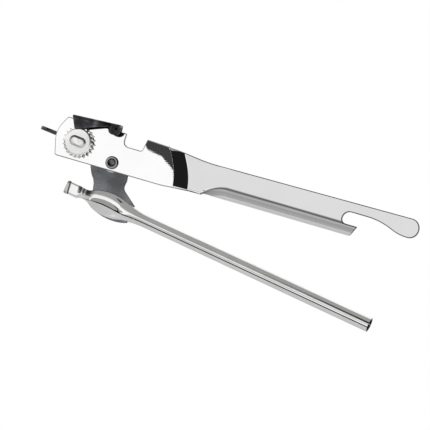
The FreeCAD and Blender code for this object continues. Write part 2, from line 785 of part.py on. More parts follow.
def make_turning_key():
    body = new_body("turning_key")
    sketch = new_sketch(body, "butterfly", "XY_Plane")
    lobe = "(key_half_span - key_lobe)"
    middle = "(key_front + key_lobe)"
    rear = "(key_front + key_lobe * 2)"
    outline(sketch, [
        (lobe, "key_front"),
        ("key_half_span", middle, "key_lobe", 1),
        (lobe, rear, "key_lobe", 1),
        ("key_waist_half", "key_front + key_waist", "key_hollow * 1.6", -1),
        ("-key_waist_half", "key_front + key_waist"),
        ("-" + lobe, rear, "key_hollow * 1.6", -1),
        ("-key_half_span", middle, "key_lobe", 1),
        ("-" + lobe, "key_front", "key_lobe", 1),
    ])
    extrude(body, "Pad", sketch, "key_thick", middle=True)
    hole = new_sketch(body, "rivet_hole", "XY_Plane")
    circle(hole, "key_rivet_shank", "0", "key_front + key_rivet_back")
    cut(body, hole, "key_thick * 4", middle=True)
    place(body, turn="key_turn")
    return body


def make_key_rivet():
    body = new_body("key_rivet")
    half = "boss_thick / 2"
    shank = new_sketch(body, "shank", "XY_Plane")
    circle(shank, "key_rivet_shank", "0", "key_front + key_rivet_back")
    extrude(body, "Pad", shank, "boss_thick", middle=True)
    for name, start in (("top", half), ("under", "-%s - key_rivet_head_thick" % half)):
        head = new_sketch(body, name, "XY_Plane", start)
        circle(head, "key_rivet_head", "0", "key_front + key_rivet_back")
        extrude(body, "Pad", head, "key_rivet_head_thick")
    outer = value(half + " + key_rivet_head_thick")
    dress(body, "Fillet", "key_rivet_head_thick * 0.7",
          lambda edge: abs(abs(edge.BoundBox.ZMin) - outer) < 1e-6
          and edge.BoundBox.ZLength < 1e-6)
    place(body, turn="key_turn")
    return body


def make_rings():
    """The bush, the spacer and the washers: rings about Y."""
    journal_bore = "journal + 2 * journal_clear"
    shank_bore = "rivet_shank"
    pivot = {"across": "pivot_x", "up": "pivot_z"}
    drive = {"turn": "key_turn"}
    return [
        ring("shaft_bush", "bush_outer", journal_bore, "bush_length", "bush_length"),
        ring("pivot_spacer", "spacer_outer", shank_bore,
             "plate_thick + spacer_thick", "spacer_thick", **pivot),
        ring("pivot_washer", "rivet_tail", shank_bore, PIVOT_STACK,
             "pivot_washer_thick", **pivot),
        ring("wheel_washer", "wheel_washer_outer", "journal",
             "-face_clear", "wheel_washer_thick", **drive),
        ring("key_washer", "key_washer_outer", "journal",
             "bush_length + face_clear + key_washer_thick", "key_washer_thick", **drive),
        ring("spring_washer", "spring_washer_outer", "journal", KEY_STACK,
             "spring_washer_thick", **drive),
    ]


def check_and_export(pieces):
    """Every object has to be sound before anything is written."""
    for item in doc.Objects:
        if "Invalid" in item.State or "Error" in item.State:
            raise ValueError("%s failed: %s" % (item.Label, item.State))
    for piece in pieces:
        shape = piece.Shape
        if shape.isNull() or not shape.isValid() or len(shape.Solids) != 1:
            raise ValueError("%s is not one sound solid" % piece.Label)
        print("%-16s %9.2f mm3" % (piece.Label, shape.Volume))
    os.makedirs("parts", exist_ok=True)
    for piece in pieces:
        piece.Shape.exportStep("parts/%s.step" % piece.Label)


check_and_export([
    make_upper_handle(),
    make_pivot_rivet(),
    make_blade_lever(),
    make_lower_handle(),
    make_feed_wheel(),
    make_drive_shaft(),
    make_turning_key(),
    make_key_rivet(),
] + make_rings())
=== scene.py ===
import math

import bmesh
import bpy
from bpy.props import FloatProperty, FloatVectorProperty, IntProperty, PointerProperty
from bpy.types import Operator, Panel, PropertyGroup
from mathutils import Matrix, Vector


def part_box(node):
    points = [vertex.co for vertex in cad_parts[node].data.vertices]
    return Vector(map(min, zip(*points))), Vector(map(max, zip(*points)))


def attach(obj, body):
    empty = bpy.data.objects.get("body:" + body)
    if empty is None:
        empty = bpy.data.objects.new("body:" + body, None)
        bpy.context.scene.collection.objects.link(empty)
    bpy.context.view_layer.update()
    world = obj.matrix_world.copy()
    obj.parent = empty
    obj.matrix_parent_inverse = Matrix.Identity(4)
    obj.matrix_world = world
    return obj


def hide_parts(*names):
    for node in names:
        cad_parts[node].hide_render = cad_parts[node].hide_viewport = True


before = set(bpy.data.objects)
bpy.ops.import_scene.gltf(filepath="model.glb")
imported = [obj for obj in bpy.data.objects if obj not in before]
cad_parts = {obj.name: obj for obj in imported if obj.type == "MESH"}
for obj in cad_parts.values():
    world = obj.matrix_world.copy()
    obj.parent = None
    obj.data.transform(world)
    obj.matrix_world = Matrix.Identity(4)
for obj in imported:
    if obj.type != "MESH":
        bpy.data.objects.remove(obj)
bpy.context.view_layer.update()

bl_info = {
    "name": "Butterfly can opener",
    "version": (1, 0, 0),
    "blender": (4, 5, 0),
    "location": "View3D > Sidebar > Opener",
    "description": "Builds the finished pieces of a manual can opener, and its studio",
    "category": "Object",
}

MM = 0.001
TO_FRONT = Vector((0.0, -1.0, 0.0))
TO_BACK = Vector((0.0, 1.0, 0.0))

# --- places shared by several pieces, in millimetres ------------------------------------

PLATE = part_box("upper_handle")
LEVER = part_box("blade_lever")
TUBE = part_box("lower_handle")
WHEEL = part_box("feed_wheel")
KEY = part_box("turning_key")
PIVOT = (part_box("pivot_rivet")[0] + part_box("pivot_rivet")[1]) / 2
DRIVE_TURN = math.radians(5.8)      # how far the key and the shaft are turned at rest
STEP_START = 47.4                   # where the flat head ends and the step back starts, at z 0
STEP_LENGTH = 7.6
STEP_DEPTH = 2.0
STEP_LEAN = math.tan(math.radians(21.5))
STEP_BOW = 0.0165                   # the step's lines bow towards the tip
STEP_ENTRY = 1.2                    # the step's first bend is tighter than its second
STEP_EXIT = 15.8
PLATE_THICK = 1.6
SHORT_EDGE = 0.12                   # edges shorter than this are merged before rounding
ROLL_START = 62.5                   # the lower edge starts to roll back here ...
ROLL_FULL = 75.0                    # ... and is fully rolled from here on
ROLL_LOW = -7.3
ROLL_HIGH = -1.2
ROLL_RADIUS = 5.6
ROLL_FOOT = -6.85                   # the underside that the roll keeps to
ROLL_HEM = -13.4                    # the roll's free edge, before it is rolled

# The handle's flat blank: x, z, corner radius, from the head's top left corner.
HANDLE_BLANK = [
    (-8.6, 10.3, 0.5), (21.0, 10.2, 0.5), (20.9, 4.2, 2.4), (30.2, 4.2, 0.9),
    (31.1, 10.3, 0.3), (47.4, 9.5, 30.0), (62.0, 7.75, 70.0), (168.2, 9.25, 4.6),
    (168.2, -0.2, 4.6), (159.6, -0.25, 18.0), (148.6, 3.95, 28.0), (131.3, 4.0, 3.4),
    (131.3, -1.95, 2.3), (139.4, -1.8, 0.12), (135.8, -10.0, 0.0),
    (135.2, ROLL_HEM, 0.6), (75.0, ROLL_HEM, 3.0), (72.5, -13.2, 3.0), (70.0, -12.4, 4.0),
    (67.5, -10.9, 4.0), (65.0, -8.9, 4.0), (63.2, -7.4, 2.0), (56.2, -7.85, 6.0),
    (43.6, -8.9, 20.0), (-9.85, -8.9, 1.2), (-12.76, 2.62, 10.6),
]

# The blade lever's fold over the head.
FOLD_TOP = 11.77
FOLD_LEFT = -5.3
FOLD_SLOPE = math.tan(math.radians(3.3))
FOLD_RADIUS = 1.6
FOLD_FRONT = -5.6
FOLD_BACK = 3.15
LEVER_THICK = 1.25
LEVER_BACK_EDGE = [
    (22.1, -33.8, 20.6), (13.2, -27.0, 0.0), (12.2, -18.6, 4.0), (11.9, -16.6, 2.0),
    (11.1, -14.7, 3.0), (9.5, -12.6, 3.0), (8.2, -9.7, 3.0), (5.6, -2.5, 2.0),
    (5.0, 5.0, 1.5), (-5.3, 6.6, 0.3),
]
LEVER_FRONT_EDGE = [
    (-5.5, 11.2, 0.3), (-2.75, 5.15, 0.2), (4.6, 8.1, 4.0), (9.65, 10.0, 4.0),
    (12.8, 11.0, 0.6), (13.0, 7.6, 2.4), (18.8, 7.6, 2.6), (18.8, 11.8, 0.3),
]
LEVER_RIGHT_EDGE = [
    (17.7, 9.5, 0.6), (20.0, 4.5, 3.0), (26.5, -4.95, 3.0), (26.7, -9.0, 2.0),
    (27.0, -11.3, 2.0), (26.3, -15.2, 3.0), (34.1, -21.7, 1.2), (32.7, -30.2, 0.0),
]
GRIND_START = (-2.45, 6.35)         # the upper limit of the ground cutting edge
GRIND_END = (9.65, 10.9)
GRIND_DEPTH = 0.8
GRIND_STOP = 11.0                   # the grinding ends here, and the blade a little later
BLADE_END = 12.8
DIMPLE = [(0.0, -5.95), (0.8, -5.9), (1.4, -5.75), (1.75, -5.55), (1.75, -5.3)]
DIMPLE_PLACE = (15.7, 10.2)

# The lower handle's own axis, and its sections: place along it, half width above and below,
# half depth, squareness, how far the seam's lips stand out, drop, slit, and the seam's turn.
GRIP_CENTRE = (21.5, 2.525, -24.1)
GRIP_SLOPE = math.radians(8.43)
TUBE_SECTIONS = [
    (-22.3, 2.7, 2.7, 0.8, 4, 0, -0.8, 0.02, 90), (-22, 3.1, 3.1, 1.05, 5, 0, -0.8, 0.02, 90),
    (-20.9, 3.2, 3.2, 1.15, 5, 0, -0.8, 0.02, 90), (-20.5, 2.95, 2.95, 0.8, 6, 0, -0.8, 0.02, 90),
    (-16.6, 2.95, 2.95, 0.8, 6, 0, -0.8, 0.02, 90), (-15.8, 3.05, 3.05, 1.1, 4, 0, -0.8, 0.02, 90),
    (-14.4, 2.7, 2.7, 1.6, 3, 0, -0.6, 0.02, 85), (-13, 2.4, 2.5, 1.45, 2.4, 0, -0.4, 0.02, 75),
    (-11.2, 2.3, 2.7, 1.7, 2.2, 0, -0.2, 0.1, 55), (-9.6, 2.9, 3.4, 1.6, 2.3, 0.05, -0.05, 0.2, 38),
    (-8.2, 3.7, 4.3, 1.7, 2.6, 0.15, 0, 0.13, 26), (-6.8, 4.4, 5, 1.8, 3, 0.6, 0, 0.19, 20),
    (-4.5, 5, 5.7, 1.85, 3, 1, 0, 0.27, 15), (-2, 5.5, 6.1, 1.9, 3, 1.15, 0, 0.32, 12),
    (1, 5.6, 6.2, 1.95, 3, 1.15, 0, 0.32, 12), (3.5, 5.45, 6, 2, 2.8, 0.95, 0, 0.27, 14),
    (5.3, 5.15, 5.7, 2, 2.6, 0.6, 0, 0.23, 17), (6.4, 4.95, 5.4, 2.05, 2.4, 0.38, 0, 0.19, 19),
    (9, 4.4, 4.5, 2.3, 2.1, 0.1, 0, 0.5, 22), (12, 3.8, 3.8, 2.6, 2, 0, 0, 0.5, 22),
    (15, 3.35, 3.35, 2.85, 2, 0, 0, 0.5, 22), (18, 3.08, 3.08, 3.03, 2, 0, 0, 0.5, 22),
    (22, 3.06, 3.06, 3.06, 2, 0, 0, 0.5, 22), (138.2, 3.45, 3.45, 3.45, 2, 0, 0, 0.5, 22),
]
TUBE_WALL = 0.8
TUBE_EDGE = 0.14
LIP_SPREAD = math.radians(11.0)

TOOTH_COUNT = 22
WHEEL_ROOT = 6.5
WHEEL_TIP = 7.5
PEENED_HEAD = [(-4.05, 2.45, 2.4), (4.05, 2.45, 2.4), (4.05, -2.45, 2.4), (-4.05, -2.45, 2.4)]
PEENED_BACK = -3.75
PEENED_FRONT = -4.6
PEENED_EDGE = 0.6
JOURNAL_BORE = 6.5
PIVOT_BORE = 4.1
KEY_BLANK = [
    (-23.4, 8.3, 7.6), (23.4, 8.3, 7.6), (23.4, 23.7, 7.6), (9.5, 23.7, 4.0),
    (3.6, 17.7, 2.4), (-3.6, 17.7, 2.4), (-9.5, 23.7, 4.0), (-23.4, 23.7, 7.6),
]
KEY_THICK = 1.8
KEY_EDGE = 0.5
KEY_BORDER = 1.0                    # plain border round the key's pressed field
KEY_PRESS = 0.2                     # how deep that field is pressed in
FORK = [(7.5, 2.8, 0.3), (17.0, 2.8, 1.2), (17.0, 1.0, 0.3), (9.0, 1.0, 0.3),
        (9.0, -1.0, 0.3), (17.0, -1.0, 0.3), (17.0, -2.8, 1.2), (7.5, -2.8, 0.3)]
FORK_WIDE = 8.4
FORK_EDGE = 0.4


# --- settings shown in the sidebar -------------------------------------------------------

class OpenerPieces(PropertyGroup):
    """How finely the pieces are made, and how much their edges are rounded."""

    plate_edge: FloatProperty(name="Plate edge", description="Rounding of the handle plate's edges",
                              default=0.00045, min=0.00005, max=0.0006, unit="LENGTH")
    lever_edge: FloatProperty(name="Lever edge", description="Rounding of the blade lever's edges",
                              default=0.0003, min=0.00005, max=0.0005, unit="LENGTH")
    round_steps: IntProperty(name="Round steps", description="Steps round a turned piece",
                             default=72, min=24, max=128)
    tube_steps: IntProperty(name="Tube steps", description="Steps round the lower handle",
                            default=144, min=24, max=180)


class OpenerStudio(PropertyGroup):
    """Where the camera and the front cards stand."""

    azimuth: FloatProperty(name="Azimuth", description="Camera's turn from the front, to the right",
                           default=math.radians(12.26), subtype="ANGLE")
    elevation: FloatProperty(name="Elevation", description="Camera's height angle",
                             default=math.radians(-1.71), subtype="ANGLE")
    roll: FloatProperty(name="Roll", description="Camera's roll", default=math.radians(16.2),
                        subtype="ANGLE")
    distance: FloatProperty(name="Distance", description="From the camera to the opener",
                            default=5.0, unit="LENGTH")
    frame_width: FloatProperty(name="Frame width", description="Width seen at the opener",
                               default=0.2021, unit="LENGTH")
    target: FloatVectorProperty(name="Target", description="The point at the middle of the frame",
                                default=(0.0728, 0.0, -0.0151), subtype="TRANSLATION")
    card_distance: FloatProperty(name="Card distance", description="From the opener to its cards",
                                 default=2.0, unit="LENGTH")


# --- mesh helpers ------------------------------------------------------------------------

def blank(corners, base=0.0):
    """A flat sheet in the XZ plane from corners (x, z, radius) in millimetres."""
    bm = bmesh.new()
    verts = [bm.verts.new((x * MM, base * MM, z * MM)) for x, z, _ in corners]
    bm.faces.new(verts)
    for vert, corner in zip(verts, corners):
        if corner[2]:
            round_corner(bm, vert, corner[2] * MM)
    return bm


def round_corner(bm, vert, radius):
    """Rounds one corner of a flat sheet."""
    before, after = (edge.other_vert(vert).co - vert.co for edge in vert.link_edges)
    reach = radius / math.tan(before.angle(after) / 2)
    steps = 4 if radius < MM else 10
    bmesh.ops.bevel(bm, geom=[vert], offset=reach, offset_type="OFFSET", segments=steps,
                    profile=0.5, affect="VERTICES", material=-1, clamp_overlap=False)


def slice_sheet(bm, axis, places, chosen=None):
    """Cuts the sheet across one axis at each place, so that it can bend there.

    chosen tells from a face's middle, in millimetres, whether the face is to be cut.
    """
    for place in places:
        point, normal = Vector(), Vector()
        point[axis], normal[axis] = place, 1.0
        faces = [face for face in bm.faces
                 if chosen is None or chosen(middle(face))]
        parts = {item for face in faces for item in (*face.verts, *face.edges, face)}
        bmesh.ops.bisect_plane(bm, geom=list(parts), dist=1e-7, plane_co=point, plane_no=normal)


def steps_between(start, end, count):
    """Evenly spaced places in metres, from start to end in millimetres."""
    return [(start + (end - start) * step / count) * MM for step in range(count + 1)]


def middle(face):
    """The middle of a face, in millimetres."""
    return face.calc_center_median() / MM


def move_each(bm, place):
    """Puts every vertex where place says."""
    for vert in bm.verts:
        vert.co = place(vert.co)


def turn_inside_out(bm):
    """Makes every face look the other way."""
    bmesh.ops.reverse_faces(bm, faces=bm.faces[:])
    bm.normal_update()


def face_sheet(bm, direction):
    """Turns an open sheet's faces so that most of them look along direction."""
    bmesh.ops.remove_doubles(bm, verts=bm.verts[:], dist=2e-6)
    bmesh.ops.recalc_face_normals(bm, faces=bm.faces[:])
    bm.normal_update()
    facing = sum(face.normal.dot(direction) * face.calc_area() for face in bm.faces)
    if facing < 0:
        turn_inside_out(bm)


def thicken(bm, depth):
    """Gives an open sheet a back and a rim, which takes the second material."""
    skin = bm.faces[:]
    made = bmesh.ops.extrude_face_region(bm, geom=skin + bm.edges[:] + bm.verts[:])["geom"]
    offsets = {}
    for vert in (item for item in made if isinstance(item, bmesh.types.BMVert)):
        faces = [face for face in vert.link_faces if face in made]
        offsets[vert] = shell_normal(faces) * depth
    for vert, offset in offsets.items():
        vert.co -= offset
    skins = set(skin) | {item for item in made if isinstance(item, bmesh.types.BMFace)}
    for face in bm.faces:
        if face not in skins:
            face.material_index = 1
    bmesh.ops.recalc_face_normals(bm, faces=bm.faces[:])


def round_edges(bm, radius, sharper_than=50.0, segments=2, material=None, clamp=True):
    """Bevels every edge that is sharper than the angle; the bevels can take their own material."""
    limit = math.radians(sharper_than)
    sharp = [edge for edge in bm.edges if edge.is_manifold and edge.calc_face_angle() > limit]
    made = bmesh.ops.bevel(bm, geom=sharp, offset=radius, offset_type="OFFSET", segments=segments,
                           profile=0.5, affect="EDGES", material=-1, clamp_overlap=clamp)
    for face in made["faces"]:
        if material is not None:
            face.material_index = material


def turned(profile, centre=(0.0, 0.0), steps=72):
    """A piece turned about the Y direction from a profile of (radius, y) in millimetres."""
    bm = bmesh.new()
    verts = [bm.verts.new((radius * MM, y * MM, 0.0)) for radius, y in profile]
    edges = [bm.edges.new(pair) for pair in zip(verts, verts[1:])]
    bmesh.ops.spin(bm, geom=verts + edges, cent=(0, 0, 0), axis=(0, 1, 0), angle=math.tau,
                   steps=steps, use_merge=True)
    bmesh.ops.remove_doubles(bm, verts=bm.verts[:], dist=1e-6)
    bmesh.ops.translate(bm, verts=bm.verts[:], vec=(centre[0], 0.0, centre[1]))
    return bm


def pour(bm, other):
    """Adds another mesh to this one."""
    mesh = bpy.data.meshes.new("poured")
    other.to_mesh(mesh)
    other.free()
    bm.from_mesh(mesh)
    bpy.data.meshes.remove(mesh)


def turn_all(bm, angle, axis="Y"):
    """Turns the whole mesh about one of the frame's axes."""
    bmesh.ops.rotate(bm, verts=bm.verts[:], cent=(0, 0, 0), matrix=Matrix.Rotation(angle, 3, axis))


def place_mesh(name, bm, materials):
    """Puts the finished mesh into the scene as an object."""
    mesh = bpy.data.meshes.new(name)
    bm.to_mesh(mesh)
    bm.free()
    for material in materials:
        mesh.materials.append(material)
    placed = bpy.data.objects.new(name, mesh)
    bpy.context.scene.collection.objects.link(placed)
    return placed


def add_piece(name, bm, nodes, body, materials, crease=38.0):
    """Makes the piece's object, and ties it to the CAD nodes that it stands for."""
    bmesh.ops.remove_doubles(bm, verts=bm.verts[:], dist=1e-6)
    bmesh.ops.recalc_face_normals(bm, faces=bm.faces[:])
    piece = place_mesh(name, bm, materials)
    piece.data.shade_smooth()
    piece.data.set_sharp_from_angle(angle=math.radians(crease))
    weighted = piece.modifiers.new("Weighted normals", "WEIGHTED_NORMAL")
    weighted.keep_sharp = True
    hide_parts(*nodes)
    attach(piece, body)


# --- materials ---------------------------------------------------------------------------

def new_material(name):
    """A material with an empty node tree but for its shader and output."""
    material = bpy.data.materials.new(name)
    material.use_nodes = True
    nodes = material.node_tree.nodes
    return material, nodes, material.node_tree.links, nodes["Principled BSDF"]


def object_place(nodes, links, scale):
    """The object's own coordinates, stretched."""
    place = nodes.new("ShaderNodeTexCoord")
    mapping = nodes.new("ShaderNodeMapping")
    mapping.inputs["Scale"].default_value = scale
    links.new(place.outputs["Object"], mapping.inputs["Vector"])
    return mapping.outputs["Vector"]


def noise(nodes, links, vector, scale, detail=3.0):
    """A noise value from 0 to 1."""
    texture = nodes.new("ShaderNodeTexNoise")
    texture.inputs["Scale"].default_value = scale
    texture.inputs["Detail"].default_value = detail
    links.new(vector, texture.inputs["Vector"])
    return texture.outputs["Fac"]


def spread(nodes, links, value, start, end, low, high):
    """Maps value from start..end to low..high, smoothly."""
    mapped = nodes.new("ShaderNodeMapRange")
    mapped.interpolation_type = "SMOOTHSTEP"
    for name, number in (("From Min", start), ("From Max", end), ("To Min", low), ("To Max", high)):
        mapped.inputs[name].default_value = number
    links.new(value, mapped.inputs["Value"])
    return mapped.outputs["Result"]


def blend_colours(nodes, links, factor, first, second):
    """A colour between first and second."""
    mix = nodes.new("ShaderNodeMix")
    mix.data_type = "RGBA"
    for socket, colour in ((6, first), (7, second)):
        if isinstance(colour, tuple):
            mix.inputs[socket].default_value = (*colour, 1.0)
        else:
            links.new(colour, mix.inputs[socket])
    links.new(factor, mix.inputs[0])
    return mix.outputs[2]


def steel(name, bright, dull, rough, grain=(1.0, 1.0, 1.0), grain_scale=900.0, relief=0.02,
          mottle_scale=60.0):
    """Bare steel: two close tones in soft patches, uneven polish and a fine grain."""
    material, nodes, links, shader = new_material(name)
    place = object_place(nodes, links, (1.0, 1.0, 1.0))
    patches = noise(nodes, links, place, mottle_scale)
    colour = blend_colours(nodes, links, spread(nodes, links, patches, 0.35, 0.65, 0.0, 1.0),
                           bright, dull)
    links.new(colour, shader.inputs["Base Color"])
    shader.inputs["Metallic"].default_value = 1.0
    links.new(spread(nodes, links, patches, 0.3, 0.7, rough[0], rough[1]),
              shader.inputs["Roughness"])
    lines = noise(nodes, links, object_place(nodes, links, grain), grain_scale, 2.0)
    bump = nodes.new("ShaderNodeBump")
    bump.inputs["Strength"].default_value = relief
    bump.inputs["Distance"].default_value = 0.0001
    links.new(lines, bump.inputs["Height"])
    links.new(bump.outputs["Normal"], shader.inputs["Normal"])
    return material


def axis_value(material, axis):
    """One of the object's own coordinates, in a material already made."""
    nodes, links = material.node_tree.nodes, material.node_tree.links
    split = nodes.new("ShaderNodeSeparateXYZ")
    links.new(object_place(nodes, links, (1.0, 1.0, 1.0)), split.inputs["Vector"])
    return split.outputs[axis]


def tint_by(material, value, stops, only=None):
    """Deepens the steel's tone by a value in metres: stops are (value in mm, tone)."""
    nodes, links = material.node_tree.nodes, material.node_tree.links
    shader = nodes["Principled BSDF"]
    first, last = stops[0][0], stops[-1][0]
    ramp = nodes.new("ShaderNodeValToRGB")
    while len(ramp.color_ramp.elements) < len(stops):
        ramp.color_ramp.elements.new(0.5)
    for element, (place, tone) in zip(ramp.color_ramp.elements, stops):
        element.position = (place - first) / (last - first)
        element.color = (tone, tone, tone, 1.0)
    share = nodes.new("ShaderNodeMapRange")
    share.inputs["From Min"].default_value = first * MM
    share.inputs["From Max"].default_value = last * MM
    links.new(value, share.inputs["Value"])
    links.new(share.outputs["Result"], ramp.inputs["Fac"])
    tone = ramp.outputs["Color"]
    if only:
        inside = spread(nodes, links, axis_value(material, only[0]), only[1] * MM, only[2] * MM,
                        0.0, 1.0)
        tone = blend_colours(nodes, links, inside, (1.0, 1.0, 1.0), tone)
    multiply = nodes.new("ShaderNodeMix")
    multiply.data_type = "RGBA"
    multiply.blend_type = "MULTIPLY"
    multiply.inputs[0].default_value = 1.0
    links.new(shader.inputs["Base Color"].links[0].from_socket, multiply.inputs[6])
    links.new(tone, multiply.inputs[7])
    links.new(multiply.outputs[2], shader.inputs["Base Color"])


def tint_along(material, axis, stops, only=None):
    """Deepens the steel's tone along one of the object's axes."""
    tint_by(material, axis_value(material, axis), stops, only)


def plate_steel():
    """The handle's polished plate, with a long faint grain and a darker roll."""
    material = steel("Polished plate", (0.98, 0.98, 0.98), (0.955, 0.957, 0.96), (0.002, 0.008),
                     grain=(0.05, 1.0, 1.0), grain_scale=2200.0, relief=0.0015)
    # Painted reflection on the roll: darkest just below the roll line, a grey band under it.
    tint_by(material, above_roll(material), [(-5.6, 1.0), (-4.4, 0.95), (-3.4, 0.62), (-1.6, 0.5),
                                             (-0.7, 0.28), (-0.3, 0.16), (0.0, 0.5), (0.3, 1.0)],
            only=(0, 62.0, 63.5))
    return material


def calculate(nodes, links, operation, first, second):
    """One sum or product of two values, either of which can be a plain number."""
    node = nodes.new("ShaderNodeMath")
    node.operation = operation
    for socket, value in zip(node.inputs, (first, second)):
        if isinstance(value, (int, float)):
            socket.default_value = value
        else:
            links.new(value, socket)
    return node.outputs["Value"]


def above_roll(material):
    """Height above the line where the plate starts to roll back, from the object's coordinates."""
    nodes, links = material.node_tree.nodes, material.node_tree.links
    share = nodes.new("ShaderNodeMapRange")
    share.inputs["From Min"].default_value = ROLL_START * MM
    share.inputs["From Max"].default_value = ROLL_FULL * MM
    links.new(axis_value(material, 0), share.inputs["Value"])
    rest = calculate(nodes, links, "SUBTRACT", 2.0, share.outputs["Result"])
    eased = calculate(nodes, links, "MULTIPLY", share.outputs["Result"], rest)
    rise = calculate(nodes, links, "MULTIPLY", eased, (ROLL_HIGH - ROLL_LOW) * MM)
    line = calculate(nodes, links, "ADD", rise, ROLL_LOW * MM)
    return calculate(nodes, links, "SUBTRACT", axis_value(material, 2), line)


def cut_edge_steel():
    """Sheared and tumbled edges: darker and rougher than the faces."""
    return steel("Cut edge", (0.6, 0.6, 0.6), (0.45, 0.45, 0.455), (0.25, 0.4),
                 grain=(1.0, 0.1, 1.0), relief=0.1)


def rounded_edge_steel():
    """The plate's tumbled corners, which stay darker than its mirror faces."""
    material = steel("Tumbled corner", (0.5, 0.5, 0.5), (0.4, 0.4, 0.402), (0.12, 0.25),
                     relief=0.05)
    # Painted shade: the rounded edges darken from the step onwards along the handle.
    tint_along(material, 0, [(0.0, 1.0), (STEP_START, 0.95), (STEP_START + 9.0, 0.22)])
    return material


def lever_steel():
    """The hardened lever: dark satin steel, lighter and blotchy towards its foot."""
    material = steel("Hardened lever", (0.2, 0.206, 0.216), (0.15, 0.154, 0.162), (0.26, 0.4),
                     grain=(1.0, 1.0, 0.12), grain_scale=1500.0, relief=0.12, mottle_scale=150.0)
    tint_along(material, 2, [(-30.0, 1.5), (-20.0, 1.35), (-14.0, 1.0), (9.0, 1.0)])
    return material


def lever_edge_steel():
    """The lever's dark cut edges."""
    return steel("Lever edge", (0.05, 0.05, 0.055), (0.03, 0.03, 0.032), (0.3, 0.45), relief=0.05)


def blade_steel():
    """The blade's folded front, darker than the rest of the lever."""
    material = steel("Blade", (0.13, 0.13, 0.135), (0.055, 0.055, 0.06), (0.16, 0.3),
                     grain=(0.1, 1.0, 1.0), grain_scale=1800.0, relief=0.1, mottle_scale=220.0)
    # Painted highlight near x 6 mm, painted dark reflection from x 8 to 13 mm, then lighter on the
    # lobe.
    tint_along(material, 0, [(-6.0, 0.8), (4.0, 0.8), (6.0, 1.6), (8.0, 0.5), (11.0, 0.12),
                             (13.0, 0.12), (14.0, 0.7), (19.0, 0.5)])
    return material


def ground_steel():
    """The ground cutting edge."""
    return steel("Ground edge", (0.2, 0.2, 0.2), (0.15, 0.15, 0.155), (0.2, 0.3),
                 grain=(1.0, 1.0, 0.1), relief=0.15)


def tube_steel():
    """The lower handle's plated tube, drawn along its length."""
    material = steel("Rolled tube", (0.93, 0.93, 0.925), (0.88, 0.88, 0.875), (0.05, 0.11),
                     grain=(0.04, 1.0, 1.0), grain_scale=2500.0, relief=0.02, mottle_scale=90.0)
    # Painted shade: the pry tab's end darker, with a dark band near x 1 mm for its outline.
    tint_along(material, 0, [(-1.0, 0.55), (0.6, 0.6), (0.9, 0.1), (1.35, 0.12), (1.7, 1.0)])
    # Painted reflection: dark streaks across the neck from x 5 to 14 mm, on its upper side.
    tint_along(material, 0, [(5.2, 1.0), (6.0, 0.3), (7.2, 0.05), (7.7, 0.9), (8.5, 0.08),
                             (9.3, 0.75), (10.2, 0.05), (11.8, 0.12), (13.0, 0.6), (14.0, 1.0)],
               only=(2, -23.4, -22.8))
    return material


def tube_edge_steel():
    """The edges inside the seam and at the tube's open end."""
    return steel("Tube edge", (0.09, 0.09, 0.09), (0.05, 0.05, 0.05), (0.3, 0.5), relief=0.1)


def wheel_steel():
    """The feed wheel, with fine turning marks round its axis."""
    material = steel("Feed wheel", (0.95, 0.945, 0.935), (0.9, 0.895, 0.89), (0.1, 0.2),
                     relief=0.012)
    nodes, links = material.node_tree.nodes, material.node_tree.links
    rings = nodes.new("ShaderNodeTexWave")
    rings.wave_type = "RINGS"
    rings.rings_direction = "Y"
    rings.inputs["Scale"].default_value = 900.0
    rings.inputs["Distortion"].default_value = 0.2
    links.new(object_place(nodes, links, (1.0, 1.0, 1.0)), rings.inputs["Vector"])
    bump = next(node for node in nodes if node.bl_idname == "ShaderNodeBump")
    links.new(rings.outputs["Fac"], bump.inputs["Height"])
    return material


def tooth_steel():
    """The flanks of the wheel's teeth."""
    return steel("Tooth flank", (0.42, 0.42, 0.42), (0.28, 0.28, 0.285), (0.2, 0.35), relief=0.1)


def shaft_steel():
    """The drive shaft and its hammered head, slightly warm."""
    return steel("Drive shaft", (0.93, 0.91, 0.88), (0.8, 0.79, 0.78), (0.08, 0.2), relief=0.1,
                 grain_scale=700.0, mottle_scale=500.0)


def head_rim_steel():
    """The rounded rim of the hammered head, dull above and bright below."""
    material = steel("Head rim", (0.9, 0.88, 0.85), (0.7, 0.69, 0.68), (0.12, 0.25), relief=0.08)
    # Painted reflection: darker towards the top of the rim, lighter below.
    tint_along(material, 2, [(-2.6, 0.75), (-1.6, 1.0), (-0.6, 0.8), (0.9, 0.35), (2.6, 0.14)])
    return material


def rivet_steel():
    """Rivets: duller than the plates."""
    return steel("Rivet", (0.5, 0.5, 0.505), (0.4, 0.4, 0.41), (0.16, 0.3), relief=0.08)


def cupped_rivet_steel(centre):
    """The pivot rivet: dark round its rim and down its cup, from the distance to its axis."""
    material = rivet_steel()
    material.name = "Cupped rivet"
    nodes, links = material.node_tree.nodes, material.node_tree.links
    reach = nodes.new("ShaderNodeVectorMath")
    reach.operation = "DISTANCE"
    flat = object_place(nodes, links, (1.0, 0.0, 1.0))
    links.new(flat, reach.inputs[0])
    reach.inputs[1].default_value = (centre.x, 0.0, centre.z)
    # Painted shade: dark rings on the cup's wall and round the head's rounded rim.
    tint_by(material, reach.outputs["Value"],
            [(0.0, 0.45), (1.1, 0.38), (1.5, 0.14), (1.9, 0.1), (2.1, 0.9), (2.6, 1.0), (2.8, 0.25),
             (3.1, 0.06)])
    return material


def key_steel():
    """The key's pressed faces."""
    return steel("Turning key", (0.8, 0.8, 0.8), (0.68, 0.68, 0.69), (0.1, 0.22), relief=0.05,
                 mottle_scale=120.0)


def key_edge_steel():
    """The key's sheared rim, dark with lighter bites."""
    return steel("Key rim", (0.09, 0.09, 0.092), (0.03, 0.03, 0.032), (0.25, 0.4), relief=0.2,
                 mottle_scale=420.0)


